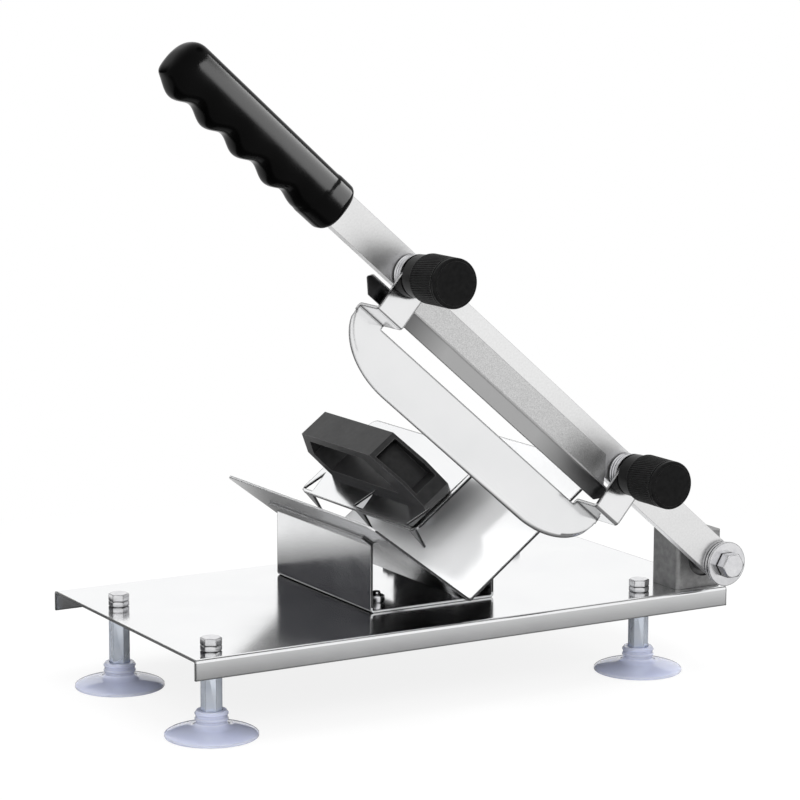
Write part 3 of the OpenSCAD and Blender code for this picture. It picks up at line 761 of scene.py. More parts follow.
@dataclass(frozen=True)
class SheetFinish(Finish):
    """Polished sheet, calmer on the raised faces that look up or to the front, with a painted dark reflection
    on the front cut edges.
    """

    calm: float = 0.5
    raised: float = 0.003
    cut_facing: float = 0.9
    wing_slope: float = math.radians(37)
    wing_reach: float = 0.006

    def adjust(self, shader: Node) -> None:
        """Makes the raised open faces less like a mirror, and paints a dark reflection on the sheets' front
        cut edges.
        """
        tree = shader.id_data
        split = tree.nodes.new("ShaderNodeSeparateXYZ")
        tree.links.new(tree.nodes.new("ShaderNodeTexCoord").outputs["Object"], split.inputs[0])
        high = node_of(tree, "ShaderNodeMath", {0: split.outputs["Z"], 1: LAYOUT.deck + self.raised},
                       operation="GREATER_THAN")
        plain = tree.nodes.new("ShaderNodeNewGeometry").outputs["Normal"]
        facing = node_of(tree, "ShaderNodeVectorMath", {0: plain, 1: (0.0, -0.7, 0.7)},
                         operation="DOT_PRODUCT")
        outward = node_of(tree, "ShaderNodeMapRange",
                          {"Value": facing.outputs["Value"], "From Min": 0.1, "From Max": 0.4,
                           "To Min": 0.0, "To Max": self.calm})
        tray_low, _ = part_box("meat_tray")
        left, right = (corner.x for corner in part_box("tray_bracket"))
        offset = node_of(tree, "ShaderNodeMath", {0: split.outputs["X"], 1: (left + right) / 2},
                         operation="SUBTRACT")
        side = node_of(tree, "ShaderNodeMath", {0: offset.outputs["Value"]}, operation="ABSOLUTE")
        level = node_of(tree, "ShaderNodeMath", {0: side.outputs["Value"], 1: math.tan(self.wing_slope)},
                        operation="MULTIPLY")
        above = node_of(tree, "ShaderNodeMath", {0: split.outputs["Z"], 1: level.outputs["Value"]},
                        operation="SUBTRACT")
        wing = node_of(tree, "ShaderNodeMath", {0: above.outputs["Value"], 1: tray_low.z + self.wing_reach},
                       operation="LESS_THAN")
        raised = node_of(tree, "ShaderNodeMath", {0: high.outputs["Value"], 1: wing.outputs["Value"]},
                         operation="MULTIPLY")
        dull = node_of(tree, "ShaderNodeMath", {0: raised.outputs["Value"], 1: outward.outputs["Result"]},
                       operation="MULTIPLY")
        share = node_of(tree, "ShaderNodeMath", {0: 1.0, 1: dull.outputs["Value"]}, operation="SUBTRACT")
        tree.links.new(share.outputs["Value"], shader.inputs["Metallic"])
        # Painted dark reflection: the front cut faces of the raised sheets take the dark edge colour.
        ahead = node_of(tree, "ShaderNodeVectorMath", {0: plain, 1: (0.0, -1.0, 0.0)},
                        operation="DOT_PRODUCT")
        front = node_of(tree, "ShaderNodeMath", {0: ahead.outputs["Value"], 1: self.cut_facing},
                        operation="GREATER_THAN")
        cut_face = node_of(tree, "ShaderNodeMath", {0: front.outputs["Value"], 1: high.outputs["Value"]},
                           operation="MULTIPLY")
        open_colour = shader.inputs["Base Color"].links[0].from_socket
        colour = mix_colour(tree, cut_face.outputs["Value"], open_colour, opaque(self.edge))
        tree.links.new(colour, shader.inputs["Base Color"])


@dataclass(frozen=True)
class ClearFinish(Finish):
    """Clear soft vinyl that lets light through."""

    ior: float = 1.3
    clearness: float = 0.45

    def adjust(self, shader: Node) -> None:
        """Makes the shader clear."""
        shader.inputs["Transmission Weight"].default_value = self.clearness
        shader.inputs["IOR"].default_value = self.ior


@dataclass(frozen=True)
class StopFinish(Finish):
    """The stop bar: a speckled seat band and a strip below it with a painted reflection, dark at its ends and
    lighter in its middle.
    """

    seat_light: Colour = (0.74, 0.74, 0.74)
    seat_dark: Colour = (0.48, 0.48, 0.48)
    low_end: float = 0.1
    high_end: float = 0.28
    seat_front: float = 0.0136

    def base_colour(self, tree: NodeTree, place: NodeSocket) -> NodeSocket:
        """Gives the seat's speckle and the strip's painted reflection, told apart by how far they stand
        forwards.
        """
        along = node_of(tree, "ShaderNodeVectorMath", {0: place, 1: LAYOUT.bar}, operation="DOT_PRODUCT")
        start = LAYOUT.pivot.dot(LAYOUT.bar)
        share = node_of(tree, "ShaderNodeMapRange",
                        {"Value": along.outputs["Value"], "From Min": start + self.low_end,
                         "From Max": start + self.high_end})
        # Painted reflection along the strip: dark at both ends, lighter in the middle.
        painted_reflection_ramp = node_of(tree, "ShaderNodeValToRGB", {"Fac": share.outputs["Result"]})
        stops = ((0.0, self.first), (0.3, self.second), (0.72, self.second), (0.96, self.first))
        elements = painted_reflection_ramp.color_ramp.elements
        while len(elements) < len(stops):
            elements.new(0.5)
        for element, (spot, colour) in zip(elements, stops):
            element.position = spot
            element.color = opaque(colour)
        speckle = group_node(tree, DRIFT, {"Vector": place, "Scale": self.drift_scale,
                                           "First": opaque(self.seat_light),
                                           "Second": opaque(self.seat_dark)})
        split = tree.nodes.new("ShaderNodeSeparateXYZ")
        tree.links.new(place, split.inputs[0])
        ahead = node_of(tree, "ShaderNodeMath", {0: split.outputs["Y"], 1: LAYOUT.front - self.seat_front},
                        operation="LESS_THAN")
        return mix_colour(tree, ahead.outputs["Value"], speckle.outputs["Colour"], painted_reflection_ramp.outputs["Color"])


BAR_TURN = (0.0, -math.atan2(LAYOUT.bar.z, -LAYOUT.bar.x), 0.0)
# In this table the edge colours are painted light: dark on the metals as painted reflections, light on the
# cast alloy, the plastics and the vinyl as painted highlights. The hollow shares paint shade into recesses.
FINISHES = (
    SheetFinish(Slot.MIRROR_SHEET, (0.93, 0.935, 0.94), (0.9, 0.905, 0.915), rough_low=0.12,
                rough_high=0.17, marks=(30.0, 2500.0, 30.0), mark_height=0.0000008,
                edge=(0.03, 0.03, 0.031), painted_edge_share=0.97, edge_radius=0.0016, hollow_shade_share=0.95,
                hollow_reach=0.08, hollow_spare=1.0, calm=0.62),
    Finish(Slot.BLADE_STEEL, (0.88, 0.88, 0.885), (0.83, 0.835, 0.84), rough_low=0.12, rough_high=0.18,
           marks=(2500.0, 40.0, 60.0), marks_turn=BAR_TURN, mark_height=0.000001,
           edge=(0.02, 0.02, 0.021), painted_edge_share=0.97, edge_radius=0.0019),
    Finish(Slot.LEVER_STEEL, (0.9, 0.9, 0.9), (0.82, 0.82, 0.82), rough_low=0.32, rough_high=0.42,
           drift_scale=900.0, marks=(900.0, 900.0, 900.0), mark_height=0.00003, edge=(0.3, 0.3, 0.3),
           painted_edge_share=0.6),
    # The stop bar's first and second colours are the dark ends and the lighter middle of the strip's painted
    # reflection.
    StopFinish(Slot.STOP_STEEL, (0.04, 0.04, 0.041), (0.42, 0.42, 0.42), rough_low=0.3,
               rough_high=0.4, drift_scale=1800.0, marks=(900.0, 900.0, 900.0), mark_height=0.00003,
               edge=(0.04, 0.04, 0.04), painted_edge_share=0.6),
    Finish(Slot.PLATED_STEEL, (0.8, 0.8, 0.81), (0.66, 0.66, 0.68), rough_low=0.16, rough_high=0.26,
           drift_scale=200.0, mark_height=0.000006, edge=(0.03, 0.03, 0.03), painted_edge_share=0.95,
           edge_radius=0.0009, hollow_shade_share=0.9, hollow_reach=0.012),
    Finish(Slot.BLUE_ZINC, (0.8, 0.85, 0.93), (0.7, 0.76, 0.86), metallic=0.65, rough_low=0.18,
           rough_high=0.32, drift_scale=160.0, marks=(900.0, 900.0, 60.0), mark_height=0.000008,
           edge=(0.16, 0.18, 0.22), painted_edge_share=0.9, edge_radius=0.0009),
    Finish(Slot.SPRING_STEEL, (0.7, 0.7, 0.72), (0.55, 0.55, 0.57), rough_low=0.18, rough_high=0.26,
           drift_scale=300.0, mark_height=0.00001, hollow_shade_share=0.95, hollow_reach=0.008),
    Finish(Slot.CAST_ALLOY, (0.42, 0.42, 0.42), (0.3, 0.3, 0.3), rough_low=0.45, rough_high=0.6,
           drift_scale=260.0, marks=(420.0, 420.0, 420.0), mark_height=0.0003, edge=(0.75, 0.75, 0.75),
           painted_edge_share=0.5, hollow_shade_share=0.9, hollow_reach=0.02),
    Finish(Slot.DARK_STEEL, (0.05, 0.05, 0.055), (0.03, 0.03, 0.035), rough_low=0.35, rough_high=0.5,
           drift_scale=300.0),
    Finish(Slot.BUSH_BRONZE, (0.6, 0.38, 0.16), (0.5, 0.3, 0.12), rough_low=0.25, rough_high=0.4,
           drift_scale=300.0),
    Finish(Slot.INSERT_BRASS, (0.75, 0.55, 0.24), (0.65, 0.45, 0.18), rough_low=0.2, rough_high=0.3,
           drift_scale=300.0),
    Finish(Slot.GRIP_PLASTIC, (0.0005, 0.0005, 0.0005), (0.001, 0.001, 0.001), metallic=0.0,
           rough_low=0.13, rough_high=0.17, specular=0.04, marks=(500.0, 500.0, 500.0),
           mark_height=0.000002),
    Finish(Slot.KNOB_PLASTIC, (0.004, 0.004, 0.0041), (0.008, 0.008, 0.0081), metallic=0.0, rough_low=0.3,
           rough_high=0.42, specular=0.06, drift_scale=400.0, marks=(1500.0, 1500.0, 1500.0),
           mark_height=0.00002, edge=(0.06, 0.06, 0.06), painted_edge_share=0.7, edge_radius=0.0003),
    Finish(Slot.HANDLE_PLASTIC, (0.014, 0.014, 0.0145), (0.022, 0.022, 0.0225), metallic=0.0,
           rough_low=0.3, rough_high=0.42, specular=0.2, drift_scale=300.0,
           marks=(1800.0, 1800.0, 1800.0), mark_height=0.00002, edge=(0.12, 0.12, 0.12), painted_edge_share=0.6,
           edge_radius=0.0005, hollow_shade=(0.002, 0.002, 0.002), hollow_shade_share=0.9, hollow_reach=0.03),
    ClearFinish(Slot.CLEAR_PVC, (0.74, 0.78, 0.95), (0.66, 0.7, 0.9), metallic=0.0, rough_low=0.05,
                rough_high=0.12, coat=0.6, drift_scale=60.0, marks=(200.0, 200.0, 200.0), mark_height=0.00003,
                edge=(1.0, 1.0, 1.0), painted_edge_share=0.6, edge_radius=0.0008),
)
FINISHED = {finish.slot: finish.build() for finish in FINISHES}


# Sub-assemblies


@dataclass
class SheetWork:
    """The folded sheets: base plate, bracket, tray and the pusher's plate."""

    edge: float = 0.00022

    def build(self) -> None:
        """Eases the cut edges of every sheet."""
        for node in ("base_plate", "tray_bracket", "meat_tray", "pusher_plate"):
            refined(node, self.edge)


@dataclass
class Feet:
    """Four feet: bolt head and thin nut, hexagonal spacer and clear suction cup."""

    corners: tuple[str, ...] = ("fl", "fr", "bl", "br")
    shank_radius: float = 0.0029
    cup_radius: float = 0.025
    lip: float = 0.0012
    crown: float = 0.0058
    cup_hollow: float = 1.25
    cavity: float = 0.0034
    cavity_share: float = 0.94
    neck_radius: float = 0.0083
    neck_foot: float = 0.0072
    bead: float = 0.0007
    neck_top: float = 0.014
    socket_radius: float = 0.00605
    socket_floor: float = 0.01
    stud_floor: float = 0.005

    def places(self) -> dict[str, Matrix]:
        """Gives the place of each foot on the bench."""
        found = {}
        for corner in self.corners:
            low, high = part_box("foot_post_" + corner)
            found[corner] = Matrix.Translation(((low.x + high.x) / 2, (low.y + high.y) / 2, 0))
        return found

    def cup(self) -> Object:
        """Turns one suction cup."""
        inner = self.cup_radius * self.cavity_share
        turns = [math.radians(90 - 90 * i / 14) for i in range(15)]
        under = [(inner * math.cos(t), self.cavity * math.sin(t)) for t in turns]
        rim = arc((self.cup_radius - self.lip / 2, self.lip / 2), self.lip / 2, -60, 60, 6)
        rise = self.crown - self.lip
        slope = [math.radians(4 + 60 * i / 12) for i in range(13)]
        dome = [(self.cup_radius * math.cos(t), self.lip + rise * math.sin(t) ** self.cup_hollow)
                for t in slope]
        foot = [(self.neck_radius + 0.0009, self.crown + 0.0003), (self.neck_radius, self.neck_foot)]
        beads: Profile = []
        for level in (self.neck_foot + 0.0022, self.neck_top - 0.0016):
            beads += arc((self.neck_radius, level), self.bead, -80, 80, 6)
        top = [(self.neck_radius - 0.0003, self.neck_top), (self.socket_radius, self.neck_top),
               (self.socket_radius, self.socket_floor), (self.shank_radius + 0.0002, self.socket_floor),
               (self.shank_radius + 0.0002, self.stud_floor), (0, self.stud_floor)]
        return polish(turned("cup_shape", [*under, *rim, *dome, *foot, *beads, *top]))

    def build(self) -> None:
        """Builds the feet."""
        places = self.places()
        _, flats_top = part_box("foot_nuts")
        _, heads_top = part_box("foot_bolts")
        post_low, post_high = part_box("foot_post_fl")
        flats = min(post_high.x - post_low.x, post_high.y - post_low.y)
        bolt_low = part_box("foot_bolts")[0].z
        cup = self.cup()
        post = hexagon("post_shape", flats, post_low.z, post_high.z, Chamfer.BOTH)
        nut = hexagon("nut_shape", flats, LAYOUT.deck, flats_top.z, Chamfer.BOTH)
        head = hexagon("head_shape", flats, flats_top.z + 0.0001, heads_top.z, Chamfer.TOP)
        shank = turned("shank_shape", [(0, bolt_low), (self.shank_radius, bolt_low),
                                       (self.shank_radius, heads_top.z - 0.001), (0, heads_top.z - 0.001)], 32)
        heads, nuts = [], []
        for corner, place in places.items():
            dress(copied(cup, "clear_cup_" + corner, place), "base", "suction_cup_" + corner)
            dress(copied(post, "hex_spacer_" + corner, place), "base", "foot_post_" + corner)
            heads.append(join(copied(head, "bolt_head_" + corner, place), copied(shank, "shank", place)))
            nuts.append(copied(nut, "thin_nut_" + corner, place))
        dress(join(*heads), "base", "foot_bolts")
        dress(join(*nuts), "base", "foot_nuts")
        for shape in (cup, post, nut, head, shank):
            bpy.data.objects.remove(shape, do_unlink=True)
        refined("cup_studs", 0.0003)


@dataclass
class BracketFasteners:
    """The screws and nuts that hold the bracket on the plate."""

    tip_radius: float = 0.0024
    thread_depth: float = 0.0003
    thread_pitch: float = 0.0008
    nut_flats: float = 0.008

    def places(self) -> list[Matrix]:
        """Gives the four screws' axes, from the corners of their group."""
        low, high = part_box("bracket_screws")
        head = 0.0045
        return [Matrix.Translation((x, y, 0)) for x in (low.x + head, high.x - head)
                for y in (low.y + head, high.y - head)]

    def build(self) -> None:
        """Builds heads, threads and nuts."""
        low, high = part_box("bracket_screws")
        nut_low, nut_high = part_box("bracket_nuts")
        turns = thread(self.tip_radius, self.thread_depth, self.thread_pitch, LAYOUT.deck, high.z - 0.0004)
        under = LAYOUT.deck - 0.0015
        shape = turned("screw_shape", [(0, low.z), (0.0036, low.z), (0.0043, low.z + 0.0006),
                                       (0.0045, low.z + 0.0014), (0.0045, under), (self.tip_radius, under),
                                       *turns, (self.tip_radius - 0.0004, high.z), (0, high.z)], 40)
        socket = hexagon("socket_shape", 0.003, low.z - 0.001, low.z + 0.0014, Chamfer.TOP)
        cut(shape, socket)
        polish(shape)
        nut = hexagon("nut_shape", self.nut_flats, nut_low.z, nut_high.z, Chamfer.BOTH)
        screws = [copied(shape, "bracket_screw", place) for place in self.places()]
        nuts = [copied(nut, "bracket_nut", place) for place in self.places()]
        dress(join(*screws), "base", "bracket_screws")
        dress(join(*nuts), "base", "bracket_nuts")
        for shape in (shape, nut):
            bpy.data.objects.remove(shape, do_unlink=True)


@dataclass
class PivotBlock:
    """The cast block, its two bolts from below and the pivot's bolt, washers and nut."""

    block_edge: float = 0.0007
    flats: float = 0.013
    shank: float = 0.004
    washer_edge: float = 0.0003
    face_height: float = 0.0005
    bolt_flats: float = 0.01
    washer_radius: float = 0.006

    def block_bolts(self) -> None:
        """Builds the two bolts under the plate."""
        low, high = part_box("block_bolts")
        washers_low, washers_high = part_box("block_washers")
        middle = (low.y + high.y) / 2
        head = hexagon("head_shape", self.bolt_flats, low.z, washers_low.z, Chamfer.BOTH)
        rod = turned("rod_shape", [(0, low.z + 0.001), (0.0029, low.z + 0.001), (0.0029, high.z - 0.0005),
                                   (0.0025, high.z), (0, high.z)], 32)
        bolts = []
        for x in (washers_low.x + self.washer_radius, washers_high.x - self.washer_radius):
            place = Matrix.Translation((x, middle, 0))
            bolts.append(join(copied(head, "block_bolt", place), copied(rod, "rod", place)))
        dress(join(*bolts), "base", "block_bolts")
        for shape in (head, rod):
            bpy.data.objects.remove(shape, do_unlink=True)
        refined("block_washers", self.washer_edge)

    def pivot_bolt(self) -> None:
        """Builds the pivot's bolt with its chamfered head and threaded tip, and the nut."""
        back, front = LAYOUT.forwards("pivot_bolt")
        _, seat = LAYOUT.forwards("pivot_front_washer")
        nut_back, nut_front = LAYOUT.forwards("pivot_nut")
        axes = LAYOUT.facing(LAYOUT.pivot, Vector((-1, 0, 0)))
        head = hexagon("pivot_bolt_finished", self.flats, seat + self.face_height, front, Chamfer.TOP)
        turns = thread(self.shank, 0.0006, 0.00125, back + 0.001, nut_front)
        rod = turned("rod", [(0, back), (self.shank - 0.0012, back), *turns, (self.shank, nut_front),
                             (self.shank, seat), (self.flats * 0.47, seat),
                             (self.flats * 0.47, seat + self.face_height),
                             (0, seat + self.face_height)], 64)
        dress(join(settle(head, axes), settle(polish(rod), axes)), "base", "pivot_bolt")
        nut = hexagon("pivot_nut_finished", self.flats, nut_back, nut_front, Chamfer.BOTH)
        dress(settle(nut, axes), "base", "pivot_nut")

    def build(self) -> None:
        """Builds the block and all that goes through it."""
        refined("pivot_block", self.block_edge, 3)
        self.block_bolts()
        self.pivot_bolt()
        for node in ("pivot_front_washer", "pivot_rear_washer", "pivot_back_washer", "pivot_spacer"):
            refined(node, self.washer_edge, 3)
        refined("pivot_lock_washer", 0.00015)


@dataclass
class Grip:
    """The moulded grip: rounded sections, a waved lower side for the fingers and a collar."""

    start: float = 0.3285
    length: float = 0.122
    half_width: float = 0.013
    top_low: float = 0.0132
    top_high: float = 0.015
    under: float = 0.0142
    finger_depth: float = 0.0021
    first_bump: float = 0.0395
    finger_pitch: float = 0.023
    collar_length: float = 0.016
    collar_under: float = 0.015
    collar_round: float = 0.003
    collar_step: float = 0.0004
    collar_draw: float = 0.14
    collar_slant: float = 0.0025
    end_round: float = 0.012
    end_power: float = 3.0
    end_share: float = 0.6
    end_drop: float = 0.0075
    power: float = 2.5
    rows: int = 150
    columns: int = 72

    def low_side(self, d: float) -> float:
        """Gives how far the lower side lies below the bar's middle at a distance along the grip."""
        share = min(1.0, max(0.0, (d - self.collar_length) / self.collar_length))
        wave = self.under + self.finger_depth * math.cos(math.tau * (d - self.first_bump) / self.finger_pitch)
        return self.collar_under * (1 - share) + wave * share

    def taper(self, d: float) -> float:
        """Gives the share of the full section that is left near the rounded tip."""
        near = max(0.0, 1 - (self.length - d) / self.end_round)
        return max(0.0, 1 - near ** self.end_power) ** (1 / self.end_power)

    def collar(self, d: float, upward: float) -> float:
        """Gives the size of the section near the bar, where a collar stands out a little.

        Args:
            d: The distance along the grip.
            upward: The height in the section, from -1 to 1, which slants the collar's crease.

        Returns:
            The size as a share of the full section.
        """
        begin = max(0.0, 1 - d / self.collar_round)
        crease = self.collar_length * 0.9 - self.collar_slant * upward
        step = 1 / (1 + math.exp(-(d - crease) / 0.0002))
        return (1 - self.collar_draw * begin ** 2) * (1 - self.collar_step / self.half_width * step)

    def point(self, along: float, around: float) -> Vector:
        """Gives a point of the grip's skin from its two shares."""
        d = self.length * (1 - (1 - along) ** 1.5)
        a = math.tau * around
        across = math.copysign(abs(math.cos(a)) ** (2 / self.power), math.cos(a))
        upward = math.copysign(abs(math.sin(a)) ** (2 / self.power), math.sin(a))
        high = self.top_low + (self.top_high - self.top_low) * d / self.length
        middle = (high - self.under) / 2
        reach = high - middle if upward > 0 else middle + self.low_side(d)
        end = self.taper(d)
        s = end * self.collar(d, upward)
        back, front = LAYOUT.forwards("lever_arm")
        return Vector((self.start + d, (back + front) / 2 + s * self.half_width * across,
                       middle - self.end_drop * (1 - max(self.end_share, end)) + s * reach * upward))

    def build(self) -> None:
        """Builds the grip on the bar's end."""
        piece = skin("grip_moulding", self.rows, self.columns, self.point)
        dress(polish(settle(piece, LAYOUT.along_bar()), math.radians(50)), "lever", "grip")


@dataclass
class Knob:
    """A thickness knob: smooth neck, knurled body, plain rim and a sunk cap."""

    node: str
    joint: str
    neck_radius: float = 0.0117
    neck_length: float = 0.0097
    body_radius: float = 0.0132
    shoulder: float = 0.0012
    insert_radius: float = 0.00605
    insert_length: float = 0.0187
    stud_radius: float = 0.0043
    stud_depth: float = 0.0287
    cap_radius: float = 0.01145
    cap_sink: float = 0.0015
    rim: float = 0.0036
    ribs: int = 64
    rib_depth: float = 0.00055
    rib_rows: int = 26
    rib_slant: float = 9.0
    groove: float = 0.0009

    def profile(self, length: float) -> Profile:
        """Gives the knob's section.

        Args:
            length: The knob's whole length.

        Returns:
            Points as (radius, height) from the back.
        """
        r, n = self.body_radius, self.neck_length
        knurl = [(r, n + self.shoulder + (length - self.rim - n - self.shoulder) * i / self.rib_rows)
                 for i in range(self.rib_rows + 1)]
        back = arc((self.neck_radius - 0.0008, 0.0008), 0.0008, -90, 0, 4)
        flare = arc((self.neck_radius + 0.0008, n - 0.0008), 0.0008, 180, 90, 4)
        turn = arc((r - self.shoulder, n + self.shoulder), self.shoulder, -90, 0, 5)
        rim = arc((r - 0.0011, length - 0.0011), 0.0011, 0, 90, 6)
        return [(0, self.stud_depth), (self.stud_radius, self.stud_depth),
                (self.stud_radius, self.insert_length), (self.insert_radius, self.insert_length),
                (self.insert_radius, 0), *back, *flare, *turn, *knurl[1:],
                (r - self.groove, length - self.rim + 0.0002),
                (r - self.groove, length - self.rim + self.groove), (r, length - self.rim + 0.0011),
                *rim, (self.cap_radius, length), (self.cap_radius, length - self.cap_sink),
                (0, length - self.cap_sink)]

    def rib_height(self, angle: float, height: float, low: float, high: float) -> float:
        """Gives how far the knurl is sunk at a point.

        Args:
            angle: The angle round the axis.
            height: The height along the axis.
            low: Where the knurl begins.
            high: Where it ends.

        Returns:
            The depth below the body's radius.
        """
        if not low < height < high:
            return 0.0
        fade = min(1.0, (height - low) / 0.0006, (high - height) / 0.0006)
        turn = angle + self.rib_slant * (height - low)
        return self.rib_depth * fade * (1 - abs(math.cos(self.ribs * turn / 2)))

    def build(self) -> None:
        """Turns the knob and presses its knurl."""
        back, front = LAYOUT.forwards(self.node)
        length = front - back
        piece = turned(self.node + "_moulding", self.profile(length), self.ribs * 6)
        low, high = self.neck_length + self.shoulder, length - self.rim
        for vertex in piece.data.vertices:
            radius = math.hypot(vertex.co.x, vertex.co.y)
            if radius > self.body_radius - MERGE and low <= vertex.co.z <= high:
                depth = self.rib_height(math.atan2(vertex.co.y, vertex.co.x), vertex.co.z, low, high)
                vertex.co.x *= 1 - depth / radius
                vertex.co.y *= 1 - depth / radius
        axes = LAYOUT.facing(JOINT[self.joint]["pos_m"], LAYOUT.bar)
        settle(piece, axes @ Matrix.Translation((0, 0, back)))
        dress(polish(piece, math.radians(40)), frame["nodes"][self.node]["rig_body"], self.node)


@dataclass
class Spring:
    """A coil spring between the lever bar and the blade's ear."""

    node: str
    joint: str
    radius: float = 0.0102
    wire: float = 0.0008
    curls: float = 2.5

    def build(self) -> None:
        """Winds the spring between the bar and the blade's ear."""
        back, front = LAYOUT.forwards(self.node)
        bpy.ops.object.select_all(action="DESELECT")
        bpy.ops.mesh.primitive_circle_add(vertices=16, radius=self.wire, location=(self.radius, 0, 0),
                                          rotation=(math.pi / 2, 0, 0))
        piece = settle(fresh(self.node + "_wire"))
        modify(piece, "SCREW", axis="Z", angle=math.tau * self.curls, steps=int(48 * self.curls),
               render_steps=int(48 * self.curls), use_smooth_shade=True,
               screw_offset=front - back - 2 * self.wire)
        close_up(piece)
        axes = LAYOUT.facing(JOINT[self.joint]["pos_m"], LAYOUT.bar)
        settle(piece, axes @ Matrix.Translation((0, 0, back + self.wire)))
        dress(polish(piece, math.radians(60)), "", self.node)
        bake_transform(piece)


@dataclass
class LeverWork:
    """The lever bar with its stop bar, studs, nuts and blade."""

    bar_edge: float = 0.0005
    blade_edge: float = 0.0002
    nut_flats: float = 0.013

    def stud_nuts(self) -> None:
        """Builds the nuts behind the bar."""
        back, front = LAYOUT.forwards("stud_nuts")
        shape = hexagon("nut_shape", self.nut_flats, back, front, Chamfer.BOTH)
        nuts = [copied(shape, "stud_nut", LAYOUT.facing(JOINT[name]["pos_m"], LAYOUT.bar))
                for name in ("upper_knob_turn", "lower_knob_turn")]
        dress(join(*nuts), "lever", "stud_nuts")
        bpy.data.objects.remove(shape, do_unlink=True)

    def build(self) -> None:
        """Builds the bar and all that is fixed on it."""
        refined("lever_arm", self.bar_edge)
        refined("stop_bar", self.blade_edge)
        refined("slicing_blade", self.blade_edge)
        self.stud_nuts()
        for node in ("upper_stud", "lower_stud"):
            refined(node, 0.0005)
        for node in ("upper_ear_washer", "lower_ear_washer"):
            refined(node, 0.0002)
        for node in ("upper_cap", "lower_cap"):
            refined(node, 0.0003, 3)


@dataclass
class PusherWork:
    """The pusher's handle and screws."""

    handle_edge: float = 0.0006

    def build(self) -> None:
        """Eases the handle's edges and the screws."""
        refined("pusher_handle", self.handle_edge, 3)
        refined("pusher_screws", 0.0003)


# Stage: floor, light and camera


@dataclass(frozen=True)
class Lamp:
    """A rectangular soft lamp."""

    name: str
    towards: tuple[float, float, float]
    distance: float
    size: tuple[float, float]
    power: float
    along: tuple[float, float, float] = (0.0, 1.0, 0.0)
    aim: tuple[float, float, float] = (0.0, 0.0, 0.15)
    only: str = ""


LAMPS = (
    Lamp("key", (0.92, -0.05, 0.36), 1.3, (0.5, 0.9), 12.0),
    Lamp("front", (-0.6, -0.75, 0.6), 1.8, (0.9, 0.9), 16.0),
    Lamp("top", (0.1, 0.3, 1.0), 1.8, (1.2, 1.2), 16.0),
    Lamp("grip_panel", (0.85, -0.51, 0.19), 1.0, (1.3, 0.42), 62.0, along=(0.3, 0.9, 0.3),
         aim=(-0.13, -0.084, 0.32), only="grip_moulding"),
)


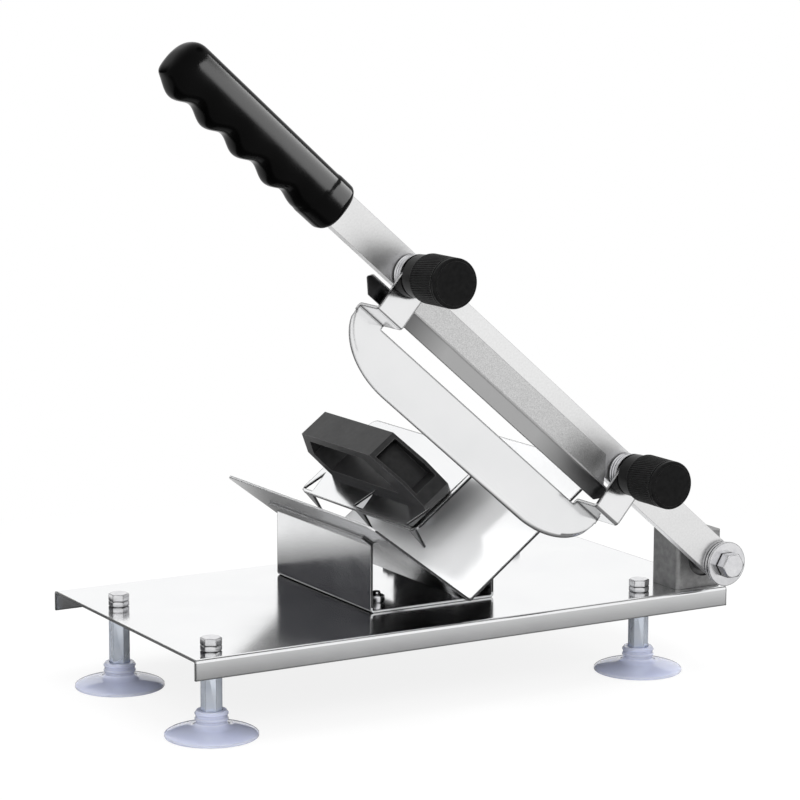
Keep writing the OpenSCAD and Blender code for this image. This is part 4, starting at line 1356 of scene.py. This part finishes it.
@dataclass
class Studio:
    """A pale floor, a white surround with darker cards for the metal, lamps and the camera."""

    floor_size: float = 8.0
    azimuth: float = math.radians(30.439)
    elevation: float = math.radians(9.489)
    roll: float = math.radians(0.195)
    lens: float = 128.96
    sensor: float = 36.0
    eye: tuple[float, float, float] = (-0.79649, -1.366132, 0.422442)
    narrow: tuple[float, float, float] = (0.35, 1.0, 1.0)
    shade_middle: tuple[float, float, float] = (0.0, 0.045, 0.0)

    def floor(self) -> None:
        """Lays the floor, white to the eye, with painted shade near the object that only the metal's
        reflections see.
        """
        bpy.ops.object.select_all(action="DESELECT")
        bpy.ops.mesh.primitive_plane_add(size=self.floor_size, location=(0, 0, -0.0002))
        piece = fresh("floor")
        material = bpy.data.materials.new("pale_floor")
        material.use_nodes = True
        tree = material.node_tree
        tree.nodes.clear()
        path = tree.nodes.new("ShaderNodeLightPath")
        place = tree.nodes.new("ShaderNodeTexCoord").outputs["Object"]
        moved = node_of(tree, "ShaderNodeVectorMath", {0: place, 1: self.shade_middle},
                        operation="SUBTRACT")
        squeezed = node_of(tree, "ShaderNodeVectorMath", {0: moved.outputs["Vector"], 1: self.narrow},
                           operation="MULTIPLY")
        away = node_of(tree, "ShaderNodeVectorMath", {0: squeezed.outputs["Vector"]}, operation="LENGTH")
        # Painted shade: the floor turns grey near the object, for glossy rays only.
        level = node_of(tree, "ShaderNodeMapRange", {"Value": away.outputs["Value"], "From Min": 0.235,
                                                     "From Max": 0.335, "To Min": 0.06, "To Max": 0.95})
        painted_floor_shade = node_of(tree, "ShaderNodeCombineColor", {"Red": level.outputs["Result"],
                                                        "Green": level.outputs["Result"],
                                                        "Blue": level.outputs["Result"]})
        shade = mix_colour(tree, path.outputs["Is Glossy Ray"], (1, 1, 1, 1), painted_floor_shade.outputs["Color"])
        glow = node_of(tree, "ShaderNodeEmission", {"Color": shade, "Strength": 1.0})
        matt = node_of(tree, "ShaderNodeBsdfDiffuse", {"Color": (0.9, 0.9, 0.9, 1)})
        seen = node_of(tree, "ShaderNodeMath", {0: path.outputs["Is Camera Ray"],
                                                1: path.outputs["Is Glossy Ray"]}, operation="ADD")
        clear = node_of(tree, "ShaderNodeMath", {0: seen.outputs["Value"],
                                                 1: path.outputs["Is Transmission Ray"]}, operation="ADD")
        distance = node_of(tree, "ShaderNodeVectorMath", {0: place}, operation="LENGTH")
        white = node_of(tree, "ShaderNodeMapRange", {"Value": distance.outputs["Value"], "From Min": 0.2,
                                                     "From Max": 0.5, "To Min": 0.85, "To Max": 1.0})
        share = node_of(tree, "ShaderNodeMath", {0: clear.outputs["Value"], 1: white.outputs["Result"]},
                        operation="MULTIPLY", use_clamp=True)
        mix = node_of(tree, "ShaderNodeMixShader", {0: share.outputs["Value"], 1: matt.outputs["BSDF"],
                                                    2: glow.outputs["Emission"]})
        node_of(tree, "ShaderNodeOutputMaterial", {"Surface": mix.outputs["Shader"]})
        piece.data.materials.append(material)

    def card(self, tree: NodeTree, ray: NodeSocket, towards: tuple[float, float, float], wide: float,
             soft: float) -> NodeSocket:
        """Gives the mask of a round card in the surround.

        Args:
            tree: The world's tree.
            ray: The socket of the ray's direction.
            towards: The direction of the card's middle.
            wide: The card's half angle in degrees.
            soft: The width of its soft rim in degrees.

        Returns:
            A socket that is 1 on the card and 0 off it.
        """
        middle = Vector(towards).normalized()
        along = node_of(tree, "ShaderNodeVectorMath", {0: ray, 1: middle}, operation="DOT_PRODUCT")
        mask = node_of(tree, "ShaderNodeMapRange",
                       {"Value": along.outputs["Value"], "From Min": math.cos(math.radians(wide + soft)),
                        "From Max": math.cos(math.radians(max(0.0, wide - soft)))},
                       interpolation_type="SMOOTHSTEP")
        return mask.outputs["Result"]

    def surround(self) -> None:
        """Builds the world: white to the eye, plain for light, with dark cards for reflections."""
        world = bpy.data.worlds.new("surround")
        bpy.context.scene.world = world
        world.use_nodes = True
        tree = world.node_tree
        tree.nodes.clear()
        path = tree.nodes.new("ShaderNodeLightPath")
        ray = tree.nodes.new("ShaderNodeTexCoord").outputs["Generated"]
        side = self.card(tree, ray, (-0.52, 0.85, 0.08), 22, 9)
        flank = self.card(tree, ray, (0.985, 0.02, 0.13), 11, 4)
        above = self.card(tree, ray, (0.5, -0.1, 0.86), 16, 8)
        shade = mix_colour(tree, side, (1, 1, 1, 1), (0.04, 0.04, 0.045, 1))
        shade = mix_colour(tree, flank, shade, (0.05, 0.05, 0.052, 1))
        shade = mix_colour(tree, above, shade, (0.12, 0.12, 0.12, 1))
        shade = mix_colour(tree, path.outputs["Is Diffuse Ray"], shade, (0.72, 0.72, 0.72, 1))
        shade = mix_colour(tree, path.outputs["Is Camera Ray"], shade, (1, 1, 1, 1))
        glow = node_of(tree, "ShaderNodeBackground", {"Color": shade, "Strength": 1.0})
        node_of(tree, "ShaderNodeOutputWorld", {"Surface": glow.outputs["Background"]})

    def lamp(self, lamp: Lamp) -> None:
        """Hangs a soft lamp that points at the object."""
        data = bpy.data.lights.new(lamp.name, "AREA")
        data.shape = "RECTANGLE"
        data.size, data.size_y = lamp.size
        data.energy = lamp.power
        hung = bpy.data.objects.new(lamp.name, data)
        bpy.context.scene.collection.objects.link(hung)
        way = Vector(lamp.towards).normalized()
        side = (Vector(lamp.along) - way * way.dot(Vector(lamp.along))).normalized()
        turn = Matrix((side, way.cross(side), way)).transposed().to_4x4()
        hung.matrix_world = Matrix.Translation(way * lamp.distance + Vector(lamp.aim)) @ turn
        hung.visible_glossy = bool(lamp.only)
        if lamp.only:
            lit = bpy.data.collections.new(lamp.name + "_lights")
            lit.objects.link(bpy.data.objects[lamp.only])
            hung.light_linking.receiver_collection = lit

    def camera(self) -> None:
        """Sets the camera up at the photograph's viewing angle."""
        back = Vector((-math.sin(self.azimuth) * math.cos(self.elevation),
                       -math.cos(self.azimuth) * math.cos(self.elevation), math.sin(self.elevation)))
        right = Vector((math.cos(self.azimuth), -math.sin(self.azimuth), 0))
        up = back.cross(right)
        c, s = math.cos(self.roll), math.sin(self.roll)
        axes = Matrix((c * right + s * up, c * up - s * right, back)).transposed().to_4x4()
        data = bpy.data.cameras.new("camera")
        data.lens = self.lens
        data.sensor_width = self.sensor
        camera = bpy.data.objects.new("camera", data)
        bpy.context.scene.collection.objects.link(camera)
        camera.matrix_world = Matrix.Translation(self.eye) @ axes
        bpy.context.scene.camera = camera

    def build(self) -> None:
        """Builds the stage."""
        bpy.context.scene.view_settings.view_transform = "Standard"
        self.floor()
        self.surround()
        for lamp in LAMPS:
            self.lamp(lamp)
        self.camera()


def dress_rest() -> None:
    """Gives each node that still shows the finish of its slot."""
    for name, node in frame["nodes"].items():
        if not node.hide_render:
            node.data.materials.clear()
            node.data.materials.append(FINISHED[SLOT_OF_NODE[name]])
            LOG.info("node %s keeps its own shape", name)


def main() -> None:
    """Builds the object in order and then its stage."""
    logging.basicConfig(level=logging.INFO)
    assemblies = (SheetWork(), Feet(), BracketFasteners(), PivotBlock(), LeverWork(), Grip(),
                  Spring("upper_spring", "upper_knob_turn"), Spring("lower_spring", "lower_knob_turn"),
                  Knob("upper_knob", "upper_knob_turn"), Knob("lower_knob", "lower_knob_turn"),
                  PusherWork())
    for assembly in assemblies:
        assembly.build()
    dress_rest()
    Studio().build()


if __name__ == "__main__":
    main()
